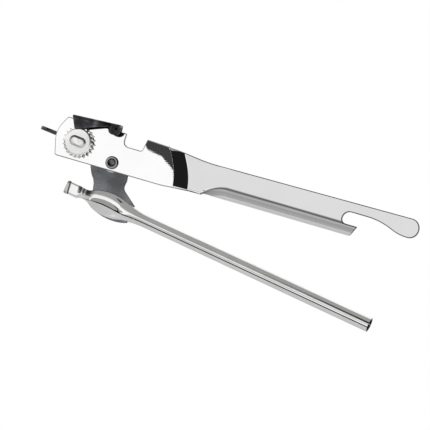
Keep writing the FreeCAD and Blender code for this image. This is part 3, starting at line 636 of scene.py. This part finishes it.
def ring_steel():
    """Washers and the bush."""
    return steel("Washers", (0.72, 0.72, 0.72), (0.6, 0.6, 0.61), (0.12, 0.25), relief=0.06)


# --- pieces ------------------------------------------------------------------------------

def step_lean(z):
    """How far the step's leaning, bowed lines stand to the left at height z, in metres."""
    return z * STEP_LEAN + STEP_BOW * (z / MM - 1.0) ** 2 * MM


def step_back(along):
    """How far the plate has stepped back, in metres: two arcs that meet."""
    length, depth = STEP_LENGTH * MM, STEP_DEPTH * MM
    share = STEP_ENTRY / (STEP_ENTRY + STEP_EXIT)
    whole = (length ** 2 + depth ** 2) / (2 * depth)
    entry, leave = whole * share, whole * (1 - share)
    if along <= 0:
        return 0.0
    if along >= length:
        return depth
    if along < length * share:
        return entry - math.sqrt(entry ** 2 - along ** 2)
    return depth - (leave - math.sqrt(leave ** 2 - (length - along) ** 2))


def roll_line(x):
    """The height where the plate starts to roll back at x, or None before the roll."""
    if x < ROLL_START * MM:
        return None
    share = min(1.0, (x / MM - ROLL_START) / (ROLL_FULL - ROLL_START))
    eased = share * (2 - share)
    return (ROLL_LOW + (ROLL_HIGH - ROLL_LOW) * eased) * MM


def shape_handle(co):
    """Bends a point of the flat blank into the stepped and rolled plate."""
    x, y, z = co
    line = roll_line(x)
    step = step_back(x + step_lean(z) - STEP_START * MM)
    if line is not None and z < line:
        radius = min(ROLL_RADIUS * MM, max(0.6 * MM, line - ROLL_FOOT * MM))
        turn = (line - z) / radius
        y += radius * (1 - math.cos(turn))
        z = line - radius * math.sin(turn)
    return Vector((x, y + step, z))


def slice_along_step(bm):
    """Cuts the blank along the step's leaning lines, which are upright while it is sheared."""
    move_each(bm, lambda co: Vector((co.x + step_lean(co.z), co.y, co.z)))
    end = STEP_START + STEP_LENGTH
    slice_sheet(bm, 0, steps_between(STEP_START, STEP_START + 0.6, 5))
    slice_sheet(bm, 0, steps_between(STEP_START + 0.9, end, 24))
    slice_sheet(bm, 2, steps_between(-7.2, 8.4, 14), lambda place: STEP_START < place.x < end)
    move_each(bm, lambda co: Vector((co.x - step_lean(co.z), co.y, co.z)))


def build_upper_handle(sizes):
    """The stamped plate: flat head, step, waist, rolled lower edge, opener and tip."""
    bm = blank(HANDLE_BLANK)
    slice_along_step(bm)
    slice_sheet(bm, 2, steps_between(ROLL_HEM + 0.6, ROLL_HIGH, 25),
                lambda place: place.x > ROLL_START)
    slice_sheet(bm, 0, steps_between(ROLL_START, ROLL_FULL, 20)[1:],
                lambda place: place.x > ROLL_START and place.z < ROLL_HIGH)
    move_each(bm, shape_handle)
    face_sheet(bm, TO_FRONT)
    thicken(bm, PLATE_THICK * MM)
    bmesh.ops.dissolve_degenerate(bm, dist=SHORT_EDGE * MM, edges=bm.edges[:])
    round_edges(bm, sizes.plate_edge, material=2, clamp=False)
    add_piece("upper_handle_looks", bm, ["upper_handle"], "opener_frame",
              [plate_steel(), cut_edge_steel(), rounded_edge_steel()])


def fold_top(x):
    """Height of the fold's outside at x, in millimetres."""
    return FOLD_TOP + (x - FOLD_LEFT) * FOLD_SLOPE


def quarter():
    """Length of one of the fold's two bends."""
    return FOLD_RADIUS * math.pi / 2


def front_start():
    """Where the front flange starts, as a distance along the sheet from the fold's top."""
    return 2 * quarter() + (FOLD_BACK - FOLD_FRONT - 2 * FOLD_RADIUS) - FOLD_RADIUS


def shape_lever(co):
    """Folds a point of the lever's flat blank over the head."""
    x, along = co.x / MM, co.z / MM
    top, passed = fold_top(x), along + FOLD_RADIUS
    flat = FOLD_BACK - FOLD_FRONT - 2 * FOLD_RADIUS
    if passed <= 0:
        y, z = FOLD_BACK, top + along
    elif passed < quarter():
        turn = passed / FOLD_RADIUS
        y = FOLD_BACK - FOLD_RADIUS * (1 - math.cos(turn))
        z = top - FOLD_RADIUS * (1 - math.sin(turn))
    elif passed < quarter() + flat:
        y, z = FOLD_BACK - FOLD_RADIUS - (passed - quarter()), top
    elif passed < 2 * quarter() + flat:
        turn = (passed - quarter() - flat) / FOLD_RADIUS
        y = FOLD_FRONT + FOLD_RADIUS * (1 - math.sin(turn))
        z = top - FOLD_RADIUS * (1 - math.cos(turn))
    else:
        y, z = FOLD_FRONT, top - FOLD_RADIUS - (passed - 2 * quarter() - flat)
    return Vector((x * MM, y * MM, z * MM))


def lever_blank():
    """The lever's flat outline: x, distance along the sheet, corner radius."""
    back = [(x, z - fold_top(x), radius) for x, z, radius in LEVER_BACK_EDGE]
    front = [(x, front_start() + fold_top(x) - FOLD_RADIUS - z, radius)
             for x, z, radius in LEVER_FRONT_EDGE]
    right = [(17.7, front_start() - 0.2, 0.3)]
    right += [(x, z - fold_top(x), radius) for x, z, radius in LEVER_RIGHT_EDGE]
    return back + front + right


def grind_blade(bm):
    """Thins the blade's front to its cutting edge."""
    start = Vector((GRIND_START[0] * MM, 0.0, GRIND_START[1] * MM))
    end = Vector((GRIND_END[0] * MM, 0.0, GRIND_END[1] * MM))
    across = (end - start).cross(TO_BACK).normalized()
    if across.z > 0:
        across.negate()
    flange = [face for face in bm.faces
              if middle(face).y < FOLD_FRONT + 2.0 and middle(face).x < BLADE_END]
    parts = {item for face in flange for item in (*face.verts, *face.edges, face)}
    bmesh.ops.bisect_plane(bm, geom=list(parts), dist=1e-7, plane_co=start, plane_no=across)
    for vert in bm.verts:
        below = (vert.co - start).dot(across)
        if vert.co.y < (FOLD_FRONT + 0.1) * MM and below > 0 and vert.co.x < GRIND_STOP * MM:
            vert.co.y += min(GRIND_DEPTH * MM, below * 0.75)


def build_blade_lever(sizes):
    """The lever: one sheet folded over the head, with the blade in front of the wheel."""
    bm = blank(lever_blank())
    slice_sheet(bm, 2, steps_between(-FOLD_RADIUS, quarter() - FOLD_RADIUS, 7))
    slice_sheet(bm, 2, steps_between(front_start() - quarter(), front_start(), 7))
    move_each(bm, shape_lever)
    face_sheet(bm, TO_BACK)
    if sum(face.normal.y * face.calc_area() for face in bm.faces
           if middle(face).y > 2.0) < 0:
        turn_inside_out(bm)
    thicken(bm, LEVER_THICK * MM)
    grind_blade(bm)
    bmesh.ops.dissolve_degenerate(bm, dist=SHORT_EDGE * MM, edges=bm.edges[:])
    round_edges(bm, sizes.lever_edge, material=1)
    for face in bm.faces:
        if face.material_index != 1 and middle(face).y < 0.5:
            ground = face.normal.y < -0.3 and face.normal.z < -0.3
            face.material_index = 3 if ground and middle(face).x < GRIND_STOP else 2
    dimple = turned(DIMPLE, [place * MM for place in DIMPLE_PLACE], 32)
    for face in dimple.faces:
        face.material_index = 2
    pour(bm, dimple)
    add_piece("blade_lever_looks", bm, ["blade_lever"], "cutter_lever",
              [lever_steel(), lever_edge_steel(), blade_steel(), ground_steel()])


def tube_section(bm, section, steps):
    """One section of the rolled tube as an open chain of edges, from lip to lip."""
    place, above, below, deep, square, lip, drop, slit, turned_down = section
    gap, seam = slit / (above + deep), math.radians(turned_down)
    known = set(bm.edges)
    first = bm.verts.new((place * MM, -math.cos(gap), math.sin(gap)))
    bmesh.ops.spin(bm, geom=[first], cent=(place * MM, 0, 0), axis=(-1, 0, 0),
                   angle=math.tau - 2 * gap, steps=steps)
    edges = [edge for edge in bm.edges if edge not in known]
    for vert in {vert for edge in edges for vert in edge.verts}:
        turn = math.atan2(vert.co.z, -vert.co.y)
        bump = lip * math.exp(-(turn / LIP_SPREAD) ** 2)
        angle = turn - seam
        wide = above if math.sin(angle) > 0 else below
        shrink = (abs(math.cos(angle)) ** square + abs(math.sin(angle)) ** square) ** (-1 / square)
        vert.co.y = -(deep * math.cos(angle) * shrink + bump) * MM
        vert.co.z = (wide * math.sin(angle) * shrink + drop) * MM
    return edges


def build_lower_handle(sizes):
    """The lower handle: a strip rolled into a tube, pinched on the lever, with a pry tab."""
    bm = bmesh.new()
    chains = [tube_section(bm, section, sizes.tube_steps) for section in TUBE_SECTIONS]
    bm.verts.index_update()
    order = {vert: vert.index for edge in chains[0] for vert in edge.verts}
    for near, far in zip(chains, chains[1:]):
        bmesh.ops.bridge_loops(bm, edges=near + far)
    bm.faces.new(sorted(order, key=order.get))
    face_sheet(bm, TO_FRONT)
    outward = sum(face.normal.y * middle(face).y for face in bm.faces)
    if outward < 0:
        turn_inside_out(bm)
    thicken(bm, TUBE_WALL * MM)
    round_edges(bm, TUBE_EDGE * MM)
    turn_all(bm, GRIP_SLOPE)
    bmesh.ops.translate(bm, verts=bm.verts[:], vec=Vector(GRIP_CENTRE) * MM)
    add_piece("lower_handle_looks", bm, ["lower_handle"], "cutter_lever",
              [tube_steel(), tube_edge_steel()])


def shell_normal(faces):
    """The direction that moves a shell's corner evenly away from the faces that meet there."""
    normal = Vector()
    for face in faces:
        normal += face.normal
    normal.normalize()
    lean = min((normal.dot(face.normal) for face in faces), default=1.0)
    return normal / max(lean, 0.7)


def wheel_ring(bm, radius, y, toothed=0.0):
    """One ring of the feed wheel; toothed adds that share of the teeth's height."""
    made = bmesh.ops.create_circle(bm, cap_ends=False, radius=1.0, segments=TOOTH_COUNT * 4)
    ring = made["verts"]
    for vert in ring:
        turn = math.atan2(vert.co.y, vert.co.x)
        step = round(turn / math.tau * TOOTH_COUNT * 4) % 4
        reach = radius + (toothed if step in (1, 2) else 0.0)
        lean = math.tau / TOOTH_COUNT / 4 * 0.25 * (1 if step == 1 else -1 if step == 2 else 0)
        turn += lean if toothed else 0.0
        vert.co = Vector((reach * math.cos(turn), y, reach * math.sin(turn))) * MM
    return list({edge for vert in ring for edge in vert.link_edges})


def build_feed_wheel(sizes):
    """The toothed feed wheel with its flat, rounded face."""
    teeth = WHEEL_TIP - WHEEL_ROOT
    rings = [(4.0, -0.4, 0.0), (WHEEL_ROOT - 0.1, -0.4, teeth * 0.7), (WHEEL_ROOT, -0.6, teeth),
             (WHEEL_ROOT, -2.55, teeth), (WHEEL_ROOT - 0.1, -2.8, teeth * 0.7), (6.4, -2.8, 0.0),
             (6.38, -3.3, 0.0), (6.25, -3.6, 0.0), (6.05, -3.75, 0.0), (5.8, -3.8, 0.0),
             (1.0, -3.8, 0.0)]
    bm = bmesh.new()
    loops = [wheel_ring(bm, *ring) for ring in rings]
    for near, far in zip(loops, loops[1:]):
        bmesh.ops.bridge_loops(bm, edges=near + far)
    bm.normal_update()
    for face in bm.faces:
        if abs(face.normal.y) < 0.4 and middle(face).y > -2.6:
            face.material_index = 1
    add_piece("feed_wheel_looks", bm, ["feed_wheel"], "drive",
              [wheel_steel(), tooth_steel()], 30.0)


def build_drive_shaft(sizes):
    """The drive shaft: journal, collar, fork for the key and the hammered front head."""
    steps = sizes.round_steps
    bm = turned([(0.0, -3.6), (1.8, -3.6), (1.8, -0.4), (3.2, -0.4), (3.2, 5.5), (4.3, 5.5),
                 (4.5, 5.7), (4.5, 7.3), (4.3, 7.5), (0.0, 7.5)], steps=steps)
    head = blank(PEENED_HEAD, PEENED_BACK)
    face_sheet(head, TO_BACK)
    thicken(head, (PEENED_BACK - PEENED_FRONT) * MM)
    front = [edge for edge in head.edges
             if all(vert.co.y < (PEENED_FRONT + 0.1) * MM for vert in edge.verts)]
    bmesh.ops.bevel(head, geom=front, offset=PEENED_EDGE * MM, offset_type="OFFSET", segments=6,
                    profile=0.5, affect="EDGES", material=-1, clamp_overlap=True)
    crown = [face for face in head.faces if middle(face).y < PEENED_FRONT + 0.01]
    bmesh.ops.inset_region(head, faces=crown, thickness=0.5 * MM, depth=-0.1 * MM)
    crown = set(crown)
    for face in head.faces:
        face.material_index = 0 if face in crown else 1
    pour(bm, head)
    fork = blank([(y, z, radius) for y, z, radius in FORK])
    face_sheet(fork, TO_BACK)
    thicken(fork, FORK_WIDE * MM)
    bmesh.ops.translate(fork, verts=fork.verts[:], vec=(0, FORK_WIDE * MM / 2, 0))
    bmesh.ops.rotate(fork, verts=fork.verts[:], cent=(0, 0, 0),
                     matrix=Matrix(((0, 1, 0), (1, 0, 0), (0, 0, 1))))
    round_edges(fork, FORK_EDGE * MM, segments=3)
    for face in fork.faces:
        face.material_index = 0
    pour(bm, fork)
    turn_all(bm, DRIVE_TURN)
    add_piece("drive_shaft_looks", bm, ["drive_shaft"], "drive",
              [shaft_steel(), head_rim_steel()])


def build_turning_key(sizes):
    """The butterfly key with its pressed wings, and the rivet through the fork."""
    bm = blank(KEY_BLANK, -KEY_THICK / 2)
    face_sheet(bm, TO_FRONT)
    thicken(bm, KEY_THICK * MM)
    round_edges(bm, KEY_EDGE * MM, segments=3, material=1)
    flat = [face for face in bm.faces if abs(face.normal.y) > 0.99 and face.material_index == 0]
    bmesh.ops.inset_individual(bm, faces=flat, thickness=KEY_BORDER * MM, depth=0.0)
    bmesh.ops.inset_individual(bm, faces=flat, thickness=0.35 * MM, depth=-KEY_PRESS * MM)
    turn_all(bm, math.radians(90.0), "X")
    for vert in bm.verts:
        vert.co.y = abs(vert.co.y)
    turn_all(bm, DRIVE_TURN)
    add_piece("turning_key_looks", bm, ["turning_key"], "drive",
              [key_steel(), key_edge_steel()])
    low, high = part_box("key_rivet")
    half = (high - low).z / MM / 2
    pin = turned([(0.0, -half), (1.2, -half + 0.02), (1.85, -half + 0.25), (2.1, 0.7 - half),
                  (1.3, 0.7 - half), (1.3, half - 0.7), (2.1, half - 0.7), (1.85, half - 0.25),
                  (1.2, half - 0.02), (0.0, half)], steps=40)
    turn_all(pin, math.radians(90.0), "X")
    bmesh.ops.translate(pin, verts=pin.verts[:], vec=(0.0, (low.y + high.y) / 2, 0.0))
    turn_all(pin, DRIVE_TURN)
    add_piece("key_rivet_looks", pin, ["key_rivet"], "drive", [rivet_steel()])


def build_ring(node, bore, edge, body, material, steps):
    """A washer or bush: its outside and ends from the frame, its bore in millimetres."""
    low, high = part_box(node)
    centre = (low + high) / 2
    outer = (high.x - low.x) / MM / 2
    front, back, inner = low.y / MM, high.y / MM, bore / 2
    profile = [(inner, front), (outer - edge, front), (outer, front + edge), (outer, back - edge),
               (outer - edge, back), (inner, back), (inner, front)]
    bm = turned(profile, (centre.x, centre.z), steps)
    add_piece(node + "_looks", bm, [node], body, [material])


def build_rings(sizes):
    """The bush, the spacer and the washers."""
    material, steps = ring_steel(), sizes.round_steps
    for node, bore, edge, body, slot in (
            ("shaft_bush", JOURNAL_BORE, 0.15, "opener_frame", "bush"),
            ("pivot_spacer", PIVOT_BORE, 0.04, "opener_frame", "washer"),
            ("pivot_washer", PIVOT_BORE, 0.1, "opener_frame", "washer"),
            ("wheel_washer", JOURNAL_BORE, 0.06, "drive", "washer"),
            ("key_washer", JOURNAL_BORE, 0.12, "drive", "washer"),
            ("spring_washer", JOURNAL_BORE, 0.2, "drive", "washer")):
        build_ring(node, bore, edge, body, material, steps)


def build_pivot_rivet(sizes):
    """The pivot rivet: a cupped head in front and a rounded tail behind."""
    low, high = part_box("pivot_rivet")
    front, back = low.y / MM, high.y / MM
    profile = [(0.0, front + 0.62), (1.2, front + 0.6), (1.6, front + 0.45), (1.85, front + 0.05),
               (2.0, front), (2.75, front), (3.0, front + 0.12), (3.1, front + 0.4), (3.1, -0.12),
               (2.95, 0.0), (2.0, 0.0), (2.0, back - 1.1), (3.5, back - 1.1), (3.5, back - 0.7),
               (3.2, back - 0.25), (2.4, back - 0.03), (0.0, back)]
    bm = turned(profile, (PIVOT.x, PIVOT.z), sizes.round_steps)
    add_piece("pivot_rivet_looks", bm, ["pivot_rivet"], "opener_frame",
              [cupped_rivet_steel(PIVOT)], 30.0)


# --- stage -------------------------------------------------------------------------------

def camera_axes(studio):
    """The camera's right, up and backward directions."""
    back = Vector((math.sin(studio.azimuth) * math.cos(studio.elevation),
                   -math.cos(studio.azimuth) * math.cos(studio.elevation),
                   math.sin(studio.elevation)))
    level = (Vector((1.0, 0.0, 0.0)) - back * back.x).normalized()
    upright = back.cross(level)
    right = level * math.cos(studio.roll) + upright * math.sin(studio.roll)
    return right, back.cross(right), back


def add_camera(studio):
    """A long lens on the opener's head side."""
    right, up, back = camera_axes(studio)
    data = bpy.data.cameras.new("Camera")
    data.sensor_width = 36.0
    data.lens = data.sensor_width * studio.distance / studio.frame_width
    data.clip_start, data.clip_end = 0.1, 50.0
    camera = bpy.data.objects.new("Camera", data)
    bpy.context.scene.collection.objects.link(camera)
    turn = Matrix((right, up, back)).transposed().to_4x4()
    place = Vector(studio.target) + back * studio.distance
    camera.matrix_world = Matrix.Translation(place) @ turn
    bpy.context.scene.camera = camera
    return place


def glow(name, tone):
    """An even glow for a card or the floor."""
    material = bpy.data.materials.new(name)
    material.use_nodes = True
    nodes, links = material.node_tree.nodes, material.node_tree.links
    nodes.clear()
    output = nodes.new("ShaderNodeOutputMaterial")
    light = nodes.new("ShaderNodeEmission")
    light.inputs["Color"].default_value = (tone, tone, tone, 1.0)
    links.new(light.outputs["Emission"], output.inputs["Surface"])
    return material


def add_card(name, corners, material):
    """A flat card from its corners, which the camera doesn't see."""
    bm = bmesh.new()
    bm.faces.new([bm.verts.new(corner) for corner in corners])
    card = place_mesh(name, bm, [material])
    card.visible_camera = False
    card.visible_shadow = False


def mirrored(place, eye, distance):
    """Where the eye sees the head's point (x, z in mm) reflected, on a card that far in front."""
    point = Vector((place[0] * MM, 0.0, place[1] * MM))
    image = Vector((eye.x, -eye.y, eye.z))
    ray = point - image
    return point + ray * (distance / -ray.y)


def white_to_camera(nodes, links, reflected, socket):
    """Shows the camera plain white, and reflections the given tone."""
    path = nodes.new("ShaderNodeLightPath")
    links.new(blend_colours(nodes, links, path.outputs["Is Camera Ray"], reflected, WHITE), socket)


def floor_material(reach):
    """White to the camera; reflections see it dimmer under, behind and to the left."""
    material = glow("Studio floor", 1.0)
    nodes, links = material.node_tree.nodes, material.node_tree.links
    light = next(node for node in nodes if node.bl_idname == "ShaderNodeEmission")
    length = nodes.new("ShaderNodeVectorMath")
    length.operation = "LENGTH"
    links.new(object_place(nodes, links, (1.0, 1.0, 0.0)), length.inputs[0])
    near = spread(nodes, links, length.outputs["Value"], reach * 0.4, reach, 0.6, 1.0)
    behind = spread(nodes, links, axis_value(material, 1), 0.05, 0.2, 0.0, 1.0)
    left = spread(nodes, links, axis_value(material, 0), -0.1, -0.22, 0.0, 1.0)
    either = calculate(nodes, links, "MAXIMUM", behind, left)
    near_tone = blend_colours(nodes, links, near, (0.0, 0.0, 0.0), WHITE)
    seen = blend_colours(nodes, links, either, near_tone, (0.55, 0.55, 0.55))
    white_to_camera(nodes, links, seen, light.inputs["Color"])
    return material


def add_floor():
    """A pale round floor well below the opener."""
    bm = bmesh.new()
    bmesh.ops.create_circle(bm, cap_ends=True, radius=FLOOR_REACH, segments=64)
    floor = place_mesh("Floor", bm, [floor_material(FLOOR_NEAR)])
    floor.location = (0.07, 0.0, FLOOR_HEIGHT)


def set_world():
    """White all round, with a grey ceiling in front that only reflections see."""
    world = bpy.data.worlds.new("Studio")
    world.use_nodes = True
    nodes, links = world.node_tree.nodes, world.node_tree.links
    place = nodes.new("ShaderNodeTexCoord")
    split = nodes.new("ShaderNodeSeparateXYZ")
    links.new(place.outputs["Generated"], split.inputs["Vector"])
    high = spread(nodes, links, split.outputs["Z"], 0.14, 0.24, 0.0, 1.0)
    ahead = spread(nodes, links, split.outputs["Y"], 0.12, 0.3, 1.0, 0.0)
    both = calculate(nodes, links, "MULTIPLY", high, ahead)
    room = blend_colours(nodes, links, both, WHITE, CEILING_TONE)
    white_to_camera(nodes, links, room, nodes["Background"].inputs["Color"])
    bpy.context.scene.world = world


# What the head and the handle reflect: outlines on the plate, in millimetres.
WHITE_ON_HEAD = [(-40.0, 40.0), (12.0, 40.0), (31.0, 6.4), (39.9, 5.0), (47.4, 0.2), (49.9, -6.4),
                 (49.0, -40.0), (-40.0, -40.0)]
DARK_ON_HEAD = [(-30.0, 42.0), (36.5, 42.0), (69.6, -42.0), (-30.0, -42.0)]
PALE_ON_HANDLE = [(36.5, 42.0), (185.0, 42.0), (185.0, -42.0), (69.6, -42.0)]
WHITE = (1.0, 1.0, 1.0)
FLOOR_HEIGHT = -0.3
FLOOR_REACH = 6.0
FLOOR_NEAR = 0.6                    # the floor is dimmer nearer than this
CEILING_TONE = (0.36, 0.36, 0.355)
FLAG_WIDE = 2.6
FLAG_LOW, FLAG_HIGH = 0.047, 1.6


def add_cards(studio, eye):
    """White, dark and pale cards for the plate, and the black and grey flags for the step."""
    for name, outline, tone, nearer in (
            ("White card", WHITE_ON_HEAD, 1.0, 0.02), ("Dark card", DARK_ON_HEAD, 0.05, 0.0),
            ("Pale card", PALE_ON_HANDLE, 0.74, 0.01)):
        far = studio.card_distance - nearer
        add_card(name, [mirrored(place, eye, far) for place in outline], glow(name, tone))
    left = mirrored((186.0, 0.0), eye, studio.card_distance)
    right = left + Vector((FLAG_WIDE, 0.5, 0.0))
    for name, low, high, tone in (("Black flag", FLAG_LOW, FLAG_HIGH, 0.012),
                                  ("Grey flag", FLOOR_HEIGHT, FLAG_LOW, 0.62)):
        corners = [(left, low), (right, low), (right, high), (left, high)]
        add_card(name, [(place.x, place.y, height) for place, height in corners], glow(name, tone))


def build_stage(studio):
    """Camera, floor, cards and the light all round."""
    eye = add_camera(studio)
    add_floor()
    set_world()
    add_cards(studio, eye)
    bpy.context.scene.view_settings.view_transform = "Standard"


# --- add-on ------------------------------------------------------------------------------

def make_operator(name, label, text, build, settings="opener_pieces"):
    """One operator, which builds its pieces from the scene's settings."""
    def execute(self, context):
        build(getattr(context.scene, settings))
        return {"FINISHED"}

    return type("OPENER_OT_" + name, (Operator,), {
        "__doc__": text, "bl_idname": "opener." + name, "bl_label": label, "execute": execute})


OPERATORS = [make_operator(*row) for row in (
    ("upper_handle", "Upper handle", "Build the upper handle's stamped plate",
     build_upper_handle),
    ("pivot_rivet", "Pivot rivet", "Build the rivet that the lever turns on",
     build_pivot_rivet),
    ("blade_lever", "Blade lever", "Build the folded lever with its blade",
     build_blade_lever),
    ("lower_handle", "Lower handle", "Build the rolled lower handle",
     build_lower_handle),
    ("feed_wheel", "Feed wheel", "Build the toothed feed wheel",
     build_feed_wheel),
    ("drive_shaft", "Drive shaft", "Build the drive shaft with its hammered head and fork",
     build_drive_shaft),
    ("turning_key", "Turning key", "Build the butterfly key and its rivet",
     build_turning_key),
    ("rings", "Bush and washers", "Build the bush, the spacer and the washers",
     build_rings),
    ("stage", "Stage", "Set up the camera, floor, cards and light", build_stage, "opener_studio"),
)]


class OPENER_PT_sidebar(Panel):
    """Lists the pieces and the settings."""

    bl_label = "Can opener"
    bl_idname = "OPENER_PT_sidebar"
    bl_space_type = "VIEW_3D"
    bl_region_type = "UI"
    bl_category = "Opener"

    def draw(self, context):
        for group in (context.scene.opener_pieces, context.scene.opener_studio):
            box = self.layout.box()
            for name in group.__annotations__:
                box.prop(group, name)
        for operator in OPERATORS:
            self.layout.operator(operator.bl_idname)


CLASSES = (OpenerPieces, OpenerStudio, *OPERATORS, OPENER_PT_sidebar)


def register():
    """Adds the settings, the operators and the panel."""
    for item in CLASSES:
        bpy.utils.register_class(item)
    bpy.types.Scene.opener_pieces = PointerProperty(type=OpenerPieces)
    bpy.types.Scene.opener_studio = PointerProperty(type=OpenerStudio)


def unregister():
    """Takes them out again."""
    del bpy.types.Scene.opener_studio
    del bpy.types.Scene.opener_pieces
    for item in reversed(CLASSES):
        bpy.utils.unregister_class(item)


def run(operator):
    """Calls one operator, and stops the script if it fails."""
    group, name = operator.bl_idname.split(".")
    result = getattr(getattr(bpy.ops, group), name)()
    if result != {"FINISHED"}:
        raise RuntimeError(operator.bl_idname + " failed")


def main():
    """Builds everything and writes the sizes before and after."""
    register()
    for operator in OPERATORS:
        run(operator)


if __name__ == "__main__":
    main()
